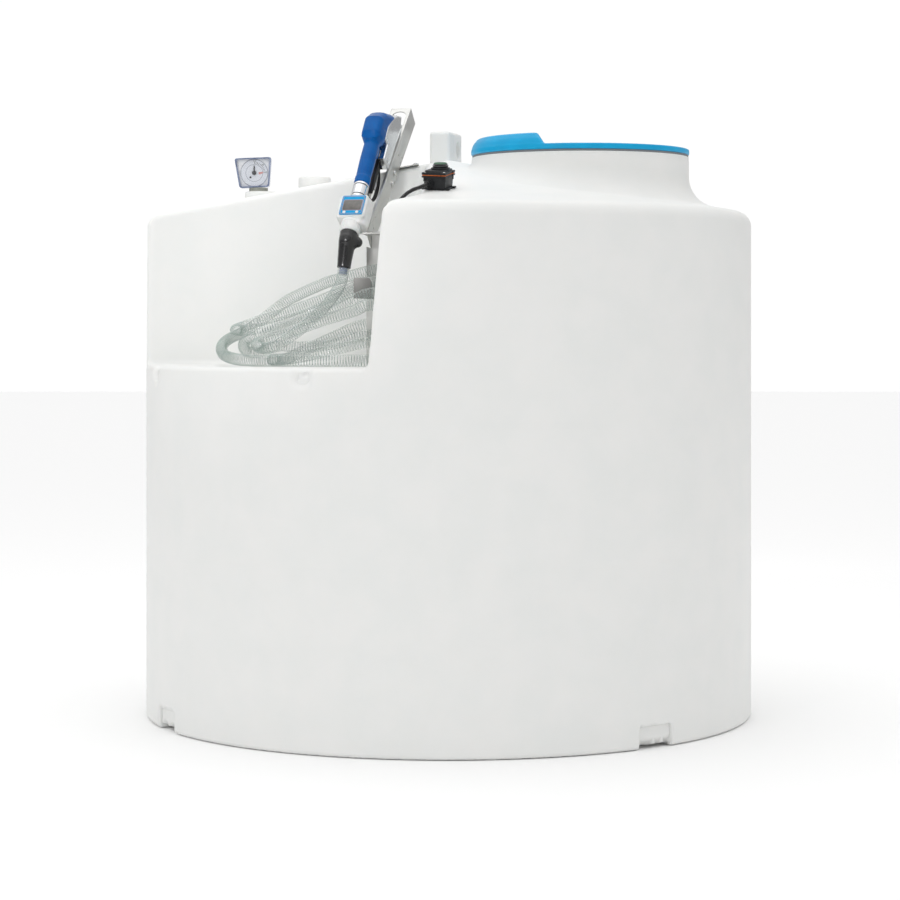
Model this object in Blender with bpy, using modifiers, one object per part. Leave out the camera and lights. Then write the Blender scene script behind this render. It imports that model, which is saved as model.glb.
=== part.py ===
"""Upright plastic storage tank with a hose bay, a filling nozzle and a level gauge.

Metres, +Z up. The origin is on the tank's axis at the ground, and the bay opens to -Y.
"""
import math

import bmesh
import bpy
from mathutils import Matrix, Vector

for thing in list(bpy.data.objects):
    bpy.data.objects.remove(thing)

# Tank shell
TANK_RADIUS = 0.700
WALL = 0.008
GAP = 0.0003
SIDES = 96
APEX_Z = 1.280
ROOF_FALL = 0.187
SHOULDER_RADIUS = 0.027
ROOF_TILT = math.atan(ROOF_FALL)
SHOULDER_Z = APEX_Z - ROOF_FALL * (TANK_RADIUS - SHOULDER_RADIUS) - SHOULDER_RADIUS / math.cos(ROOF_TILT)
INNER_RADIUS = TANK_RADIUS - WALL
FIT_RADIUS = INNER_RADIUS - 0.0008
FLOOR_THICKNESS = 0.010
SEGMENTS = 8

# Hose bay, cut into the front left of the upper tank
LEDGE_Z = 0.805
BAY_REFERENCE_Z = 1.160
BAY_DRAFT = math.tan(math.radians(4.8))
BAY_BACK_Y = -0.030
BAY_SIDE_X = -0.060
BAY_FRONT_CORNER = Vector((-0.141, -0.6857))
BAY_DIAGONAL = Vector((-0.6366, -0.7712))
BAY_DIAGONAL_OUT = Vector((-0.7712, 0.6366))

# Foot notches, two opposite pairs
NOTCH_ANGLES = (27, 129, 207, 309)
NOTCH_WIDTH = 0.090
NOTCH_HEIGHT = 0.047
NOTCH_DEPTH = 0.045

# Manhole
MANHOLE_CENTRE = (0.300, -0.120)
NECK_RADIUS = 0.2475
NECK_WALL = 0.010
NECK_TOP_Z = 1.276
NECK_FLARE = 0.045
LID_RADIUS = 0.248
SEAL_THICKNESS = 0.004
LID_THICKNESS = 0.013
LID_Z = NECK_TOP_Z + SEAL_THICKNESS + 2 * GAP
LID_TOP_Z = LID_Z + LID_THICKNESS
LID_HUMP_EDGE_X = 0.196
LID_HUMP_HIGH = 0.0255
HINGE_POINT = (0.300, 0.1395, 1.2870)
HINGE_WIDTH = 0.064
HINGE_EYE_RADIUS = 0.009
HINGE_PIN_RADIUS = 0.004

# Holder and nozzle, both turned to the viewer's left and leaning back
YAW = math.radians(17.2)
HOLDER_LEAN = math.radians(46)
NOZZLE_LEAN = math.radians(36.5)
HOLDER_TOP = (-0.1119, 0.0585, 1.4058)
NOZZLE_HEAD = (-0.1662, -0.1170, 1.3455)
HOLDER_WIDTH = 0.049
HOLDER_DEPTH = 0.047
HOLDER_LENGTH = 0.440
HOLDER_PLATE = 0.0025
HOLDER_OPENING = 0.036
HANDLE_RADIUS = 0.0175
SPOUT_RADIUS = 0.0095
LEVER_PIVOT = (0.053, -0.053)
METER_TOP = -0.2145
NUT_END = -0.3095
SWIVEL_RADIUS = 0.018
LEG_X = -0.162
LEG_Y = -0.220
LEG_WIDTH = 0.045
LEG_PLATE = 0.003
REST_Z = 1.0968
HOOK_Y = -0.3305
HOOK_Z = 0.9535

# Hose, from the nozzle's boot through nine crossings of the bay's edge to its outlet
HOSE_DIAMETER = 0.026
HOSE_POINTS = 76
OUTLET = (-0.0758, -0.3100, 0.9730)
OUTLET_LENGTH = 0.064
BOOT_ROUTE = ((-0.2256, -0.3046, 1.0690), (-0.2288, -0.3072, 1.0460), (-0.2318, -0.3115, 1.0205))
HOSE_ROUTE = (
    # Down from the nozzle to the first turn at the front left
    (-0.239, -0.337, 0.982), (-0.266, -0.386, 0.939), (-0.313, -0.430, 0.892),
    (-0.361, -0.465, 0.856), (-0.387, -0.460, 0.846), (-0.408, -0.438, 0.846), (-0.417, -0.408, 0.851),
    (-0.413, -0.380, 0.857), (-0.394, -0.362, 0.864),
    # Back to the right, and down beside the side wall
    (-0.358, -0.354, 0.875), (-0.282, -0.360, 0.903), (-0.206, -0.374, 0.926), (-0.178, -0.384, 0.938),
    (-0.142, -0.402, 0.933), (-0.118, -0.430, 0.907), (-0.113, -0.465, 0.868), (-0.127, -0.494, 0.834),
    # Along the ledge to the turn furthest left
    (-0.160, -0.509, 0.820), (-0.218, -0.512, 0.8185), (-0.317, -0.502, 0.8185), (-0.386, -0.486, 0.8185),
    (-0.424, -0.468, 0.8185), (-0.457, -0.440, 0.821), (-0.485, -0.395, 0.828), (-0.499, -0.335, 0.840),
    (-0.502, -0.272, 0.852), (-0.495, -0.210, 0.863), (-0.480, -0.156, 0.873),
    # Up behind the others and over the hook
    (-0.456, -0.122, 0.887), (-0.425, -0.112, 0.909), (-0.392, -0.120, 0.934), (-0.356, -0.142, 0.957),
    (-0.278, -0.193, 0.990), (-0.240, -0.218, 1.000), (-0.180, -0.243, 1.015), (-0.147, -0.242, 1.019),
    # Round the leg and back to the left
    (-0.121, -0.235, 1.005), (-0.107, -0.217, 0.978), (-0.106, -0.194, 0.944), (-0.123, -0.175, 0.914),
    (-0.150, -0.167, 0.900), (-0.199, -0.168, 0.895), (-0.266, -0.184, 0.866), (-0.339, -0.214, 0.831),
    # A turn on the ledge under the others
    (-0.366, -0.238, 0.819), (-0.385, -0.268, 0.8187), (-0.390, -0.312, 0.8187), (-0.379, -0.358, 0.8187),
    (-0.354, -0.395, 0.821), (-0.322, -0.413, 0.826), (-0.259, -0.424, 0.839), (-0.190, -0.424, 0.855),
    # Up beside the side wall and to the left again
    (-0.146, -0.419, 0.863), (-0.120, -0.406, 0.884), (-0.111, -0.386, 0.917), (-0.122, -0.364, 0.947),
    (-0.148, -0.353, 0.963), (-0.181, -0.351, 0.962), (-0.207, -0.350, 0.951), (-0.245, -0.339, 0.938),
    (-0.309, -0.328, 0.911), (-0.349, -0.325, 0.894), (-0.420, -0.328, 0.874),
    # A steep turn, then to the right above the turn on the ledge
    (-0.442, -0.318, 0.865), (-0.454, -0.292, 0.852), (-0.452, -0.260, 0.839), (-0.435, -0.240, 0.833),
    (-0.409, -0.236, 0.841), (-0.377, -0.240, 0.849), (-0.337, -0.246, 0.846), (-0.292, -0.252, 0.848),
    (-0.247, -0.256, 0.856), (-0.211, -0.258, 0.867),
    # Up beside the side wall and over the hook to the left
    (-0.136, -0.257, 0.881), (-0.112, -0.257, 0.906), (-0.107, -0.258, 0.938), (-0.122, -0.261, 0.968),
    (-0.152, -0.264, 0.988), (-0.189, -0.265, 0.987), (-0.220, -0.261, 0.976), (-0.288, -0.236, 0.950),
    (-0.368, -0.202, 0.922), (-0.436, -0.179, 0.902),
    # The last turn, and over the hook to the outlet
    (-0.459, -0.184, 0.893), (-0.474, -0.204, 0.887), (-0.477, -0.234, 0.884), (-0.468, -0.264, 0.883),
    (-0.447, -0.283, 0.884), (-0.392, -0.290, 0.894), (-0.311, -0.286, 0.922), (-0.241, -0.296, 0.957),
    (-0.200, -0.305, 0.975))


def collection(name):
    made = bpy.data.collections.new(name)
    bpy.context.scene.collection.children.link(made)
    return made


PARTS = collection("storage_tank")
CUTTERS = collection("cutters")


def paint(name, colour, roughness, metallic=0.0):
    made = bpy.data.materials.new(name)
    made.use_nodes = True
    shader = made.node_tree.nodes["Principled BSDF"]
    shader.inputs["Base Color"].default_value = (*colour, 1.0)
    shader.inputs["Roughness"].default_value = roughness
    shader.inputs["Metallic"].default_value = metallic
    made.diffuse_color = (*colour, 1.0)
    return made


WHITE = paint("white_polyethylene", (0.86, 0.87, 0.86), 0.45)
BLUE = paint("blue_polyethylene", (0.00, 0.22, 0.51), 0.40)
COVER_BLUE = paint("nozzle_cover_blue", (0.003, 0.07, 0.34), 0.30)
LABEL_BLUE = paint("meter_face_blue", (0.01, 0.28, 0.64), 0.35)
BLACK = paint("black_plastic", (0.012, 0.012, 0.013), 0.45)
RUBBER = paint("black_rubber", (0.015, 0.015, 0.016), 0.60)
GREEN = paint("green_rubber", (0.01, 0.10, 0.04), 0.55)
ORANGE = paint("orange_seal", (0.58, 0.16, 0.013), 0.55)
STEEL = paint("stainless_steel", (0.55, 0.55, 0.54), 0.32, 1.0)
CHROME = paint("chrome", (0.80, 0.80, 0.82), 0.12, 1.0)
ALUMINIUM = paint("polished_aluminium", (0.78, 0.79, 0.80), 0.22, 1.0)
GREY = paint("grey_plastic", (0.42, 0.44, 0.44), 0.45)
DIAL = paint("white_dial", (0.85, 0.85, 0.84), 0.50)
CLEAR = paint("clear_plastic", (0.80, 0.85, 0.88), 0.10)
HOSE = paint("clear_hose", (0.60, 0.69, 0.66), 0.25)


def as_object(name, mesh, finish, group=None):
    made = bpy.data.objects.new(name, mesh)
    (group or PARTS).objects.link(made)
    if finish:
        mesh.materials.append(finish)
    return made


def from_bmesh(name, form, finish, group=None):
    mesh = bpy.data.meshes.new(name)
    form.to_mesh(mesh)
    form.free()
    made = as_object(name, mesh, finish, group)
    mesh.shade_smooth()
    mesh.set_sharp_from_angle(angle=math.radians(35))
    return made


def from_curve(name, curve, finish, group=None, where=None):
    """Turns a curve into a welded mesh."""
    holder = bpy.data.objects.new(name, curve)
    bpy.context.scene.collection.objects.link(holder)
    holder.matrix_world = where or Matrix()
    graph = bpy.context.evaluated_depsgraph_get()
    mesh = bpy.data.meshes.new_from_object(holder.evaluated_get(graph))
    bpy.data.objects.remove(holder)
    bpy.data.curves.remove(curve)
    form = bmesh.new()
    form.from_mesh(mesh)
    bpy.data.meshes.remove(mesh)
    bmesh.ops.remove_doubles(form, verts=form.verts, dist=0.00001)
    bmesh.ops.recalc_face_normals(form, faces=form.faces)
    made = from_bmesh(name, form, finish, group)
    made.matrix_world = where or Matrix()
    return made


def plate(name, outline, low, high, finish, group=None, where=None):
    """A flat outline given thickness along its own Z, from low to high."""
    curve = bpy.data.curves.new(name, "CURVE")
    curve.dimensions = "2D"
    curve.fill_mode = "BOTH"
    curve.extrude = (high - low) / 2
    spline = curve.splines.new("POLY")
    spline.points.add(len(outline) - 1)
    for point, (x, y) in zip(spline.points, outline):
        point.co = (x, y, 0, 1)
    spline.use_cyclic_u = True
    lift = Matrix.Translation((0, 0, (low + high) / 2))
    return from_curve(name, curve, finish, group, (where or Matrix()) @ lift)


def tube(name, points, radius, finish, group=None, where=None, closed=False, sides=2):
    curve = bpy.data.curves.new(name, "CURVE")
    curve.dimensions = "3D"
    curve.bevel_depth = radius
    curve.bevel_resolution = sides
    curve.use_fill_caps = not closed
    spline = curve.splines.new("POLY")
    spline.points.add(len(points) - 1)
    for point, place in zip(spline.points, points):
        point.co = (*place, 1)
    spline.use_cyclic_u = closed
    return from_curve(name, curve, finish, group, where)


def block(name, size, centre, finish, group=None, where=None, bevel=0.0):
    form = bmesh.new()
    bmesh.ops.create_cube(form, size=1.0)
    bmesh.ops.scale(form, vec=size, verts=form.verts)
    made = from_bmesh(name, form, finish, group)
    made.matrix_world = (where or Matrix()) @ Matrix.Translation(centre)
    if bevel:
        edge = made.modifiers.new("rounded edges", "BEVEL")
        edge.width = bevel
        edge.segments = 2
    return made


def rod(name, radius, start, end, finish, group=None, where=None, end_radius=None, sides=32):
    start, end = Vector(start), Vector(end)
    form = bmesh.new()
    bmesh.ops.create_cone(form, cap_ends=True, segments=sides, radius1=radius,
                          radius2=radius if end_radius is None else end_radius, depth=(end - start).length)
    made = from_bmesh(name, form, finish, group)
    turn = (end - start).to_track_quat("Z", "Y").to_matrix().to_4x4()
    made.matrix_world = (where or Matrix()) @ Matrix.Translation((start + end) / 2) @ turn
    return made


def turned(name, profile, finish, group=None, centre=(0, 0, 0), ring=True, sides=SIDES, where=None):
    """A profile of (radius, height), down its outer side first, turned about its own Z."""
    count = len(profile)
    links = [(i, i + 1) for i in range(count - 1)]
    if ring:
        links.append((count - 1, 0))
    mesh = bpy.data.meshes.new(name)
    mesh.from_pydata([(r, 0, z) for r, z in profile], links, [])
    made = as_object(name, mesh, finish, group)
    made.matrix_world = (where or Matrix()) @ Matrix.Translation(centre)
    turn = made.modifiers.new("turned", "SCREW")
    turn.steps = sides
    turn.render_steps = sides
    turn.use_merge_vertices = True
    turn.merge_threshold = 0.0001
    return made


def loft(name, low_ring, high_ring, finish, group=None):
    """A closed solid between two unlike horizontal rings with as many points each."""
    form = bmesh.new()
    low = [form.verts.new(p) for p in low_ring]
    high = [form.verts.new(p) for p in high_ring]
    count = len(low)
    form.faces.new(reversed(low))
    form.faces.new(high)
    for i in range(count):
        j = (i + 1) % count
        form.faces.new((low[i], low[j], high[j], high[i]))
    bmesh.ops.recalc_face_normals(form, faces=form.faces)
    return from_bmesh(name, form, finish, group)


def boolean(target, tool, operation):
    change = target.modifiers.new(operation.lower() + " " + tool.name, "BOOLEAN")
    change.operation = operation
    change.object = tool
    change.solver = "EXACT"
    if tool.name not in CUTTERS.objects:
        for group in tool.users_collection:
            group.objects.unlink(tool)
        CUTTERS.objects.link(tool)
    tool.hide_render = True
    tool.display_type = "WIRE"


def cut(target, *tools):
    for tool in tools:
        boolean(target, tool, "DIFFERENCE")


def join(target, *tools):
    for tool in tools:
        boolean(target, tool, "UNION")


def leaning_frame(origin, lean):
    """Columns: to the right, back and down, and up along the leaning piece."""
    right = Vector((math.cos(YAW), -math.sin(YAW), 0))
    back = Vector((math.cos(lean) * math.sin(YAW), math.cos(lean) * math.cos(YAW), -math.sin(lean)))
    up = Vector((math.sin(lean) * math.sin(YAW), math.sin(lean) * math.cos(YAW), math.cos(lean)))
    turn = Matrix((right, back, up)).transposed().to_4x4()
    return Matrix.Translation(origin) @ turn


HOLDER = leaning_frame(HOLDER_TOP, HOLDER_LEAN)
NOZZLE = leaning_frame(NOZZLE_HEAD, NOZZLE_LEAN)
# The lid's hinge is at the back: X points to the lid's centre, and Y lies along the pin
HINGE = Matrix.Translation(HINGE_POINT) @ Matrix.Rotation(-math.pi / 2, 4, "Z")
SIDEWAYS = Matrix(((0, 0, 1, 0), (1, 0, 0, 0), (0, 1, 0, 0), (0, 0, 0, 1)))


def roof_height(x, y):
    return APEX_Z - ROOF_FALL * math.hypot(x, y)


def arc(radius, start, end, step=360 / SIDES):
    """Points on a circle about the axis, from one angle to another in degrees."""
    count = max(1, round(abs(end - start) / step))
    turns = [math.radians(start + (end - start) * i / count) for i in range(count + 1)]
    return [(radius * math.cos(t), radius * math.sin(t)) for t in turns]


def bay_corners(offset):
    """The bay's plan at a height where draft has moved its walls in by an offset."""
    side_x = BAY_SIDE_X - offset
    start = BAY_FRONT_CORNER + offset * BAY_DIAGONAL_OUT
    bend = start + BAY_DIAGONAL * ((side_x - start.x) / BAY_DIAGONAL.x)
    return Vector((side_x, BAY_BACK_Y - offset)), bend, start


def on_circle(start, direction, radius):
    """How far along a line from start it meets a circle about the axis."""
    along = start.dot(direction)
    return -along + math.sqrt(along ** 2 - start.length_squared + radius ** 2)


def draft_at(z):
    return BAY_DRAFT * (BAY_REFERENCE_Z - z)


def at_height(points, z):
    return [(p[0], p[1], z) for p in points]


# Guides that shape the shell
ROOF_CLEAR = SHOULDER_RADIUS / math.cos(ROOF_TILT)


def shoulder_profile(thickness):
    """The roof's surface at a depth below its outside, from the apex to the wall."""
    radius = SHOULDER_RADIUS - thickness
    centre = (TANK_RADIUS - SHOULDER_RADIUS, SHOULDER_Z)
    steps = 6
    span = math.pi / 2 - ROOF_TILT
    bend = [(centre[0] + radius * math.cos(span * (1 - i / steps)),
             centre[1] + radius * math.sin(span * (1 - i / steps))) for i in range(steps + 1)]
    return [(0, APEX_Z - thickness / math.cos(ROOF_TILT)), *bend]


def bay_space(name, low, high):
    rings = []
    for z in (low, high):
        corner, bend, start = bay_corners(draft_at(z))
        out = start + BAY_DIAGONAL * 0.25
        rings.append(at_height([corner, bend, out, (-1.0, -1.0), (-1.0, corner.y)], z))
    return loft(name, rings[0], rings[1], None, CUTTERS)


def ledge_outline(radius, grow):
    """The ledge with its edge under the bay's walls, grown by an amount."""
    corner, bend, start = bay_corners(draft_at(LEDGE_Z) - WALL - grow)
    end = start + BAY_DIAGONAL * on_circle(start, BAY_DIAGONAL, radius)
    left = (-math.sqrt(radius ** 2 - corner.y ** 2), corner.y)
    first = math.degrees(math.atan2(left[1], left[0])) % 360
    last = math.degrees(math.atan2(end.y, end.x)) % 360
    return [*arc(radius, first, last), tuple(bend), tuple(corner)]


BAY_SPACE = bay_space("bay_space", LEDGE_Z - WALL - GAP, 1.5)
LEDGE_SLOT = plate("ledge_slot", ledge_outline(0.76, GAP), LEDGE_Z - WALL - GAP, LEDGE_Z + GAP, None, CUTTERS)
ABOVE_CEILING = turned("above_ceiling", [(0, 1.6), (0.9, 1.6), (0.9, 1.0), (INNER_RADIUS + 0.02, 1.0)]
                       + list(reversed(shoulder_profile(WALL + GAP))), None, CUTTERS, ring=False)
UNDER_ROOF = turned("under_roof", [(0, APEX_Z + GAP), (0.9, APEX_Z + GAP - ROOF_FALL * 0.9), (0.9, 0.8), (0, 0.8)],
                    None, CUTTERS, ring=False)


def notch_box(name, angle, width, height, inner, outer, low):
    turn = Matrix.Rotation(math.radians(angle), 4, "Z")
    return block(name, (outer - inner, width, height), ((inner + outer) / 2, 0, low + height / 2),
                 None, CUTTERS, turn)


def tank_wall():
    """Eight upright segments, lower where the bay is, with a housing behind each notch."""
    span = 360 / SEGMENTS
    clear = math.degrees(GAP / 2 / TANK_RADIUS)
    for i in range(SEGMENTS):
        low, high = i * span + clear, (i + 1) * span - clear
        outline = arc(TANK_RADIUS, low, high) + list(reversed(arc(INNER_RADIUS, low, high)))
        wall = plate(f"wall_segment_{i + 1}", outline, 0, SHOULDER_Z - GAP, WHITE)
        for angle in NOTCH_ANGLES:
            if low < angle < high:
                inner = TANK_RADIUS - NOTCH_DEPTH
                housing = notch_box(f"notch_housing_{angle}", angle, NOTCH_WIDTH + 2 * WALL, NOTCH_HEIGHT + WALL,
                                    inner - WALL, INNER_RADIUS + 0.003, 0)
                join(wall, housing)
                cut(wall, notch_box(f"notch_{angle}", angle, NOTCH_WIDTH, NOTCH_HEIGHT + 0.05, inner,
                                    TANK_RADIUS + 0.05, -0.05))
        if 180 <= i * span < 270:
            cut(wall, BAY_SPACE, LEDGE_SLOT)


def tank_floor():
    floor = plate("floor", arc(FIT_RADIUS, 0, 360)[:-1], 0, FLOOR_THICKNESS, WHITE)
    for angle in NOTCH_ANGLES:
        cut(floor, notch_box(f"floor_relief_{angle}", angle, NOTCH_WIDTH + 2 * WALL + 4 * GAP, 0.1,
                             TANK_RADIUS - NOTCH_DEPTH - WALL - 2 * GAP, TANK_RADIUS, -0.05))


def tank_roof():
    profile = shoulder_profile(0) + list(reversed(shoulder_profile(WALL)))
    roof = turned("roof", profile, WHITE, ring=False)
    cut(roof, BAY_SPACE)
    cut(roof, rod("manhole_hole", NECK_RADIUS - NECK_WALL, (*MANHOLE_CENTRE, 0.9), (*MANHOLE_CENTRE, 1.5),
                  None, CUTTERS, sides=72))


def bay_ledge():
    plate("bay_ledge", ledge_outline(TANK_RADIUS, 0), LEDGE_Z - WALL, LEDGE_Z, WHITE)


def bay_back_wall():
    rings = []
    for z in (LEDGE_Z + GAP, 1.30):
        corner, bend, start = bay_corners(draft_at(z))
        y = corner.y
        reach = math.sqrt(FIT_RADIUS ** 2 - max(abs(y), abs(y + WALL)) ** 2)
        rings.append(at_height([(-reach, y), (corner.x + WALL, y), (corner.x + WALL, y + WALL), (-reach, y + WALL)], z))
    wall = loft("bay_back_wall", rings[0], rings[1], WHITE)
    cut(wall, ABOVE_CEILING)


def bay_side_wall():
    rings = []
    for z in (LEDGE_Z + GAP, 1.30):
        ring = []
        for offset in (draft_at(z), draft_at(z) - WALL):
            corner, bend, start = bay_corners(offset)
            end = start + BAY_DIAGONAL * on_circle(start, BAY_DIAGONAL, FIT_RADIUS)
            top = (corner.x, bay_corners(draft_at(z))[0].y - GAP)
            line = [top, tuple(bend), tuple(end)]
            ring += line if not ring else list(reversed(line))
        rings.append(at_height(ring, z))
    wall = loft("bay_side_wall", rings[0], rings[1], WHITE)
    cut(wall, ABOVE_CEILING)


def manhole_neck():
    outer, inner = NECK_RADIUS, NECK_RADIUS - NECK_WALL
    flare_z = 1.235
    flare = [(outer + NECK_FLARE * (1 - math.cos(t)), flare_z - 0.085 * math.sin(t))
             for t in (math.radians(15 * i) for i in range(7))]
    profile = [(outer - 0.003, NECK_TOP_Z), (outer, NECK_TOP_Z - 0.003), *flare, (outer + NECK_FLARE, 1.05),
               (inner, 1.05), (inner, NECK_TOP_Z)]
    neck = turned("manhole_neck", profile, WHITE, centre=(*MANHOLE_CENTRE, 0), sides=72)
    cut(neck, UNDER_ROOF)


def manhole_seal():
    z = NECK_TOP_Z + GAP
    turned("manhole_seal", [(0.2445, z + SEAL_THICKNESS), (0.2445, z), (0.2385, z), (0.2385, z + SEAL_THICKNESS)],
           GREY, centre=(*MANHOLE_CENTRE, 0), sides=72)


def manhole_lid(axis):
    """A disc with a turned-up edge, the raised part on its left and the hinge eye."""
    edge = 0.004
    lid = turned("manhole_lid", [(0, LID_TOP_Z), (LID_RADIUS - edge, LID_TOP_Z), (LID_RADIUS, LID_TOP_Z - edge),
                                 (LID_RADIUS, LID_Z), (0, LID_Z)], BLUE, centre=(*MANHOLE_CENTRE, 0),
                 ring=False, sides=72)
    hump_radius = LID_RADIUS - 0.006
    low, high = LID_TOP_Z - 0.004, LID_TOP_Z + 0.08
    hump = rod("lid_hump", hump_radius, (*MANHOLE_CENTRE, low), (*MANHOLE_CENTRE, high), BLUE, CUTTERS, sides=72)
    left = MANHOLE_CENTRE[0] - LID_RADIUS
    keep = plate("lid_hump_limit", [(left - 0.01, LID_TOP_Z - 0.02), (LID_HUMP_EDGE_X + 0.024, LID_TOP_Z - 0.02),
                                    (LID_HUMP_EDGE_X, LID_TOP_Z + LID_HUMP_HIGH),
                                    (left + 0.014, LID_TOP_Z + LID_HUMP_HIGH), (left - 0.01, LID_TOP_Z - 0.003)],
                 -0.3, 0.3, None, CUTTERS,
                 Matrix.Translation((0, MANHOLE_CENTRE[1], 0)) @ Matrix.Rotation(math.pi / 2, 4, "X"))
    boolean(hump, keep, "INTERSECT")
    half = HINGE_WIDTH / 2 - 0.0135
    eye = rod("lid_hinge_eye", HINGE_EYE_RADIUS, (0, -half, 0), (0, half, 0), None, CUTTERS, HINGE)
    arm = block("lid_hinge_arm", (0.045, 2 * half, 0.006), (0.0225, 0, LID_Z + 0.0045 - HINGE_POINT[2]), None,
                CUTTERS, HINGE)
    bore = rod("lid_hinge_bore", HINGE_PIN_RADIUS + GAP, (0, -0.05, 0), (0, 0.05, 0), None, CUTTERS, HINGE)
    join(lid, hump, arm, eye)
    cut(lid, bore)
    hang(lid, axis)


def lid_hinge_bracket():
    """Two ears and their base, fitted against the back of the neck."""
    ear = 0.012
    half = HINGE_WIDTH / 2
    foot = -0.033
    bracket = block("lid_hinge_bracket", (0.032, HINGE_WIDTH, 0.026), (0.006, 0, foot), BLUE, where=HINGE)
    for side in (-1, 1):
        place = side * (half - ear / 2)
        join(bracket, block(f"hinge_ear_{side}", (0.018, ear, -foot), (0, place, foot / 2), None, CUTTERS, HINGE),
             rod(f"hinge_ear_round_{side}", HINGE_EYE_RADIUS, (0, place - ear / 2, 0), (0, place + ear / 2, 0),
                 None, CUTTERS, HINGE))
    cut(bracket, rod("hinge_ear_bore", HINGE_PIN_RADIUS + GAP, (0, -0.06, 0), (0, 0.06, 0), None, CUTTERS, HINGE),
        rod("neck_clearance", NECK_RADIUS + GAP, (*MANHOLE_CENTRE, 1.1), (*MANHOLE_CENTRE, 1.5), None, CUTTERS,
            sides=144))
    rod("lid_hinge_pin", HINGE_PIN_RADIUS, (0, -half - 0.003, 0), (0, half + 0.003, 0), STEEL, where=HINGE)


def lifting_lug():
    """A moulded block with an eye through it, on the roof behind the holder."""
    where = Matrix.Translation((-0.007, 0.130, 0)) @ Matrix.Rotation(math.radians(-16), 4, "Z")
    lug = block("lifting_lug", (0.050, 0.112, 0.154), (0, 0, 1.277), WHITE, where=where, bevel=0.006)
    cut(lug, rod("lug_eye", 0.021, (-0.1, 0.026, 1.313), (0.1, 0.026, 1.313), None, CUTTERS, where), UNDER_ROOF)


def vent():
    centre = (-0.326, 0.250, 0)
    boss = turned("vent_boss", [(0, 1.228), (0.030, 1.228), (0.034, 1.222), (0.040, 1.12), (0, 1.12)], WHITE,
                  centre=centre, ring=False, sides=48)
    cut(boss, UNDER_ROOF)
    turned("vent_cap", [(0, 1.256), (0.0365, 1.256), (0.0395, 1.253), (0.0395, 1.2283), (0, 1.2283)], WHITE,
           centre=centre, ring=False, sides=48)


GAUGE_CENTRE = (-0.4490, 0.200)
GAUGE_DIAL = (-0.4685, 0.200, 1.2622)
GAUGE_DEPTH = 0.030


def level_gauge(axis):
    """Boss, neck, tapered case with a round front, dial with spindle, pointer and window."""
    x, y = GAUGE_CENTRE
    boss = turned("gauge_boss", [(0, 1.217), (0.038, 1.217), (0.042, 1.213), (0.044, 1.10), (0, 1.10)], WHITE,
                  centre=(x, y, 0), ring=False, sides=48)
    cut(boss, UNDER_ROOF)
    rod("gauge_neck", 0.0225, (x - 0.0096, y, 1.217 + GAP), (x - 0.0096, y, 1.2265), GREY)
    dial_x, dial_y, dial_z = GAUGE_DIAL
    front = dial_y - GAUGE_DEPTH / 2
    outline = [(-0.5030, 1.2262), (-0.4323, 1.2285), (-0.4287, 1.2966), (-0.5148, 1.2930)]
    stand = Matrix.Rotation(math.pi / 2, 4, "X")
    case = plate("gauge_case", outline, -dial_y - GAUGE_DEPTH / 2, -dial_y + GAUGE_DEPTH / 2, CLEAR, where=stand)
    mouth = 0.033
    cut(case, rod("gauge_mouth", mouth, (dial_x, front - 0.01, dial_z), (dial_x, front + 0.0215, dial_z), None,
                  CUTTERS, sides=48))
    back = front + 0.0215 - GAP
    dial = rod("gauge_dial", mouth - GAP, (dial_x, back, dial_z), (dial_x, back - 0.0015, dial_z), DIAL, sides=48)
    pointer_y = back - 0.0015 - 0.0065
    join(dial, rod("gauge_spindle", 0.0018, (dial_x, back - 0.001, dial_z), (dial_x, pointer_y - 0.0025, dial_z),
                   None, CUTTERS, sides=24))
    hub = rod("gauge_pointer", 0.0050, (dial_x, pointer_y + 0.0008, dial_z), (dial_x, pointer_y - 0.0008, dial_z), BLACK)
    finger = plate("pointer_finger", [(-0.0020, 0.0), (0.0020, 0.0), (0.0006, 0.024), (-0.0006, 0.024)],
                   -0.0006, 0.0006, None, CUTTERS, Matrix.Translation((dial_x, pointer_y, dial_z)) @ stand)
    join(hub, finger)
    cut(hub, rod("pointer_bore", 0.0018 + GAP, (dial_x, pointer_y - 0.01, dial_z), (dial_x, pointer_y + 0.01, dial_z),
                 None, CUTTERS, sides=24))
    hang(hub, axis)
    rod("gauge_window", mouth - GAP, (dial_x, front, dial_z), (dial_x, front + 0.002, dial_z), CLEAR, sides=48)


SWITCH_CENTRE = (-0.0216, -0.515)
SWITCH_YAW = math.radians(-19)


def switch_frame():
    """On the roof's slope, turned like the box in the photo."""
    x, y = SWITCH_CENTRE
    downhill = math.atan2(y, x)
    slope = Matrix.Rotation(downhill, 4, "Z") @ Matrix.Rotation(ROOF_TILT, 4, "Y") @ Matrix.Rotation(-downhill, 4, "Z")
    return Matrix.Translation((x, y, roof_height(x, y))) @ slope @ Matrix.Rotation(SWITCH_YAW, 4, "Z")


def switch_box():
    """Base, orange seal, lid, round button under its boot, and the gland with its cable."""
    where = switch_frame()
    base = block("switch_base", (0.050, 0.058, 0.0300), (0, 0, 0.0157), BLACK, where=where, bevel=0.0015)
    join(base, block("switch_feet", (0.060, 0.050, 0.004), (0.001, 0, 0.0027), None, CUTTERS, where))
    block("switch_seal", (0.051, 0.059, 0.002), (0, 0, 0.0320), ORANGE, where=where)
    lid = block("switch_lid", (0.054, 0.062, 0.009), (0, 0, 0.0378), BLACK, where=where, bevel=0.0015)
    join(lid, rod("switch_collar", 0.020, (0.004, 0.002, 0.041), (0.004, 0.002, 0.0475), None, CUTTERS, where))
    rod("switch_button", 0.0150, (0.004, 0.002, 0.0478), (0.004, 0.002, 0.0570), GREEN, where=where, end_radius=0.0120)
    rod("cable_gland", 0.0070, (-0.012, -0.0293, 0.015), (-0.012, -0.0420, 0.015), BLACK, where=where, sides=24)
    return where


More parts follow.
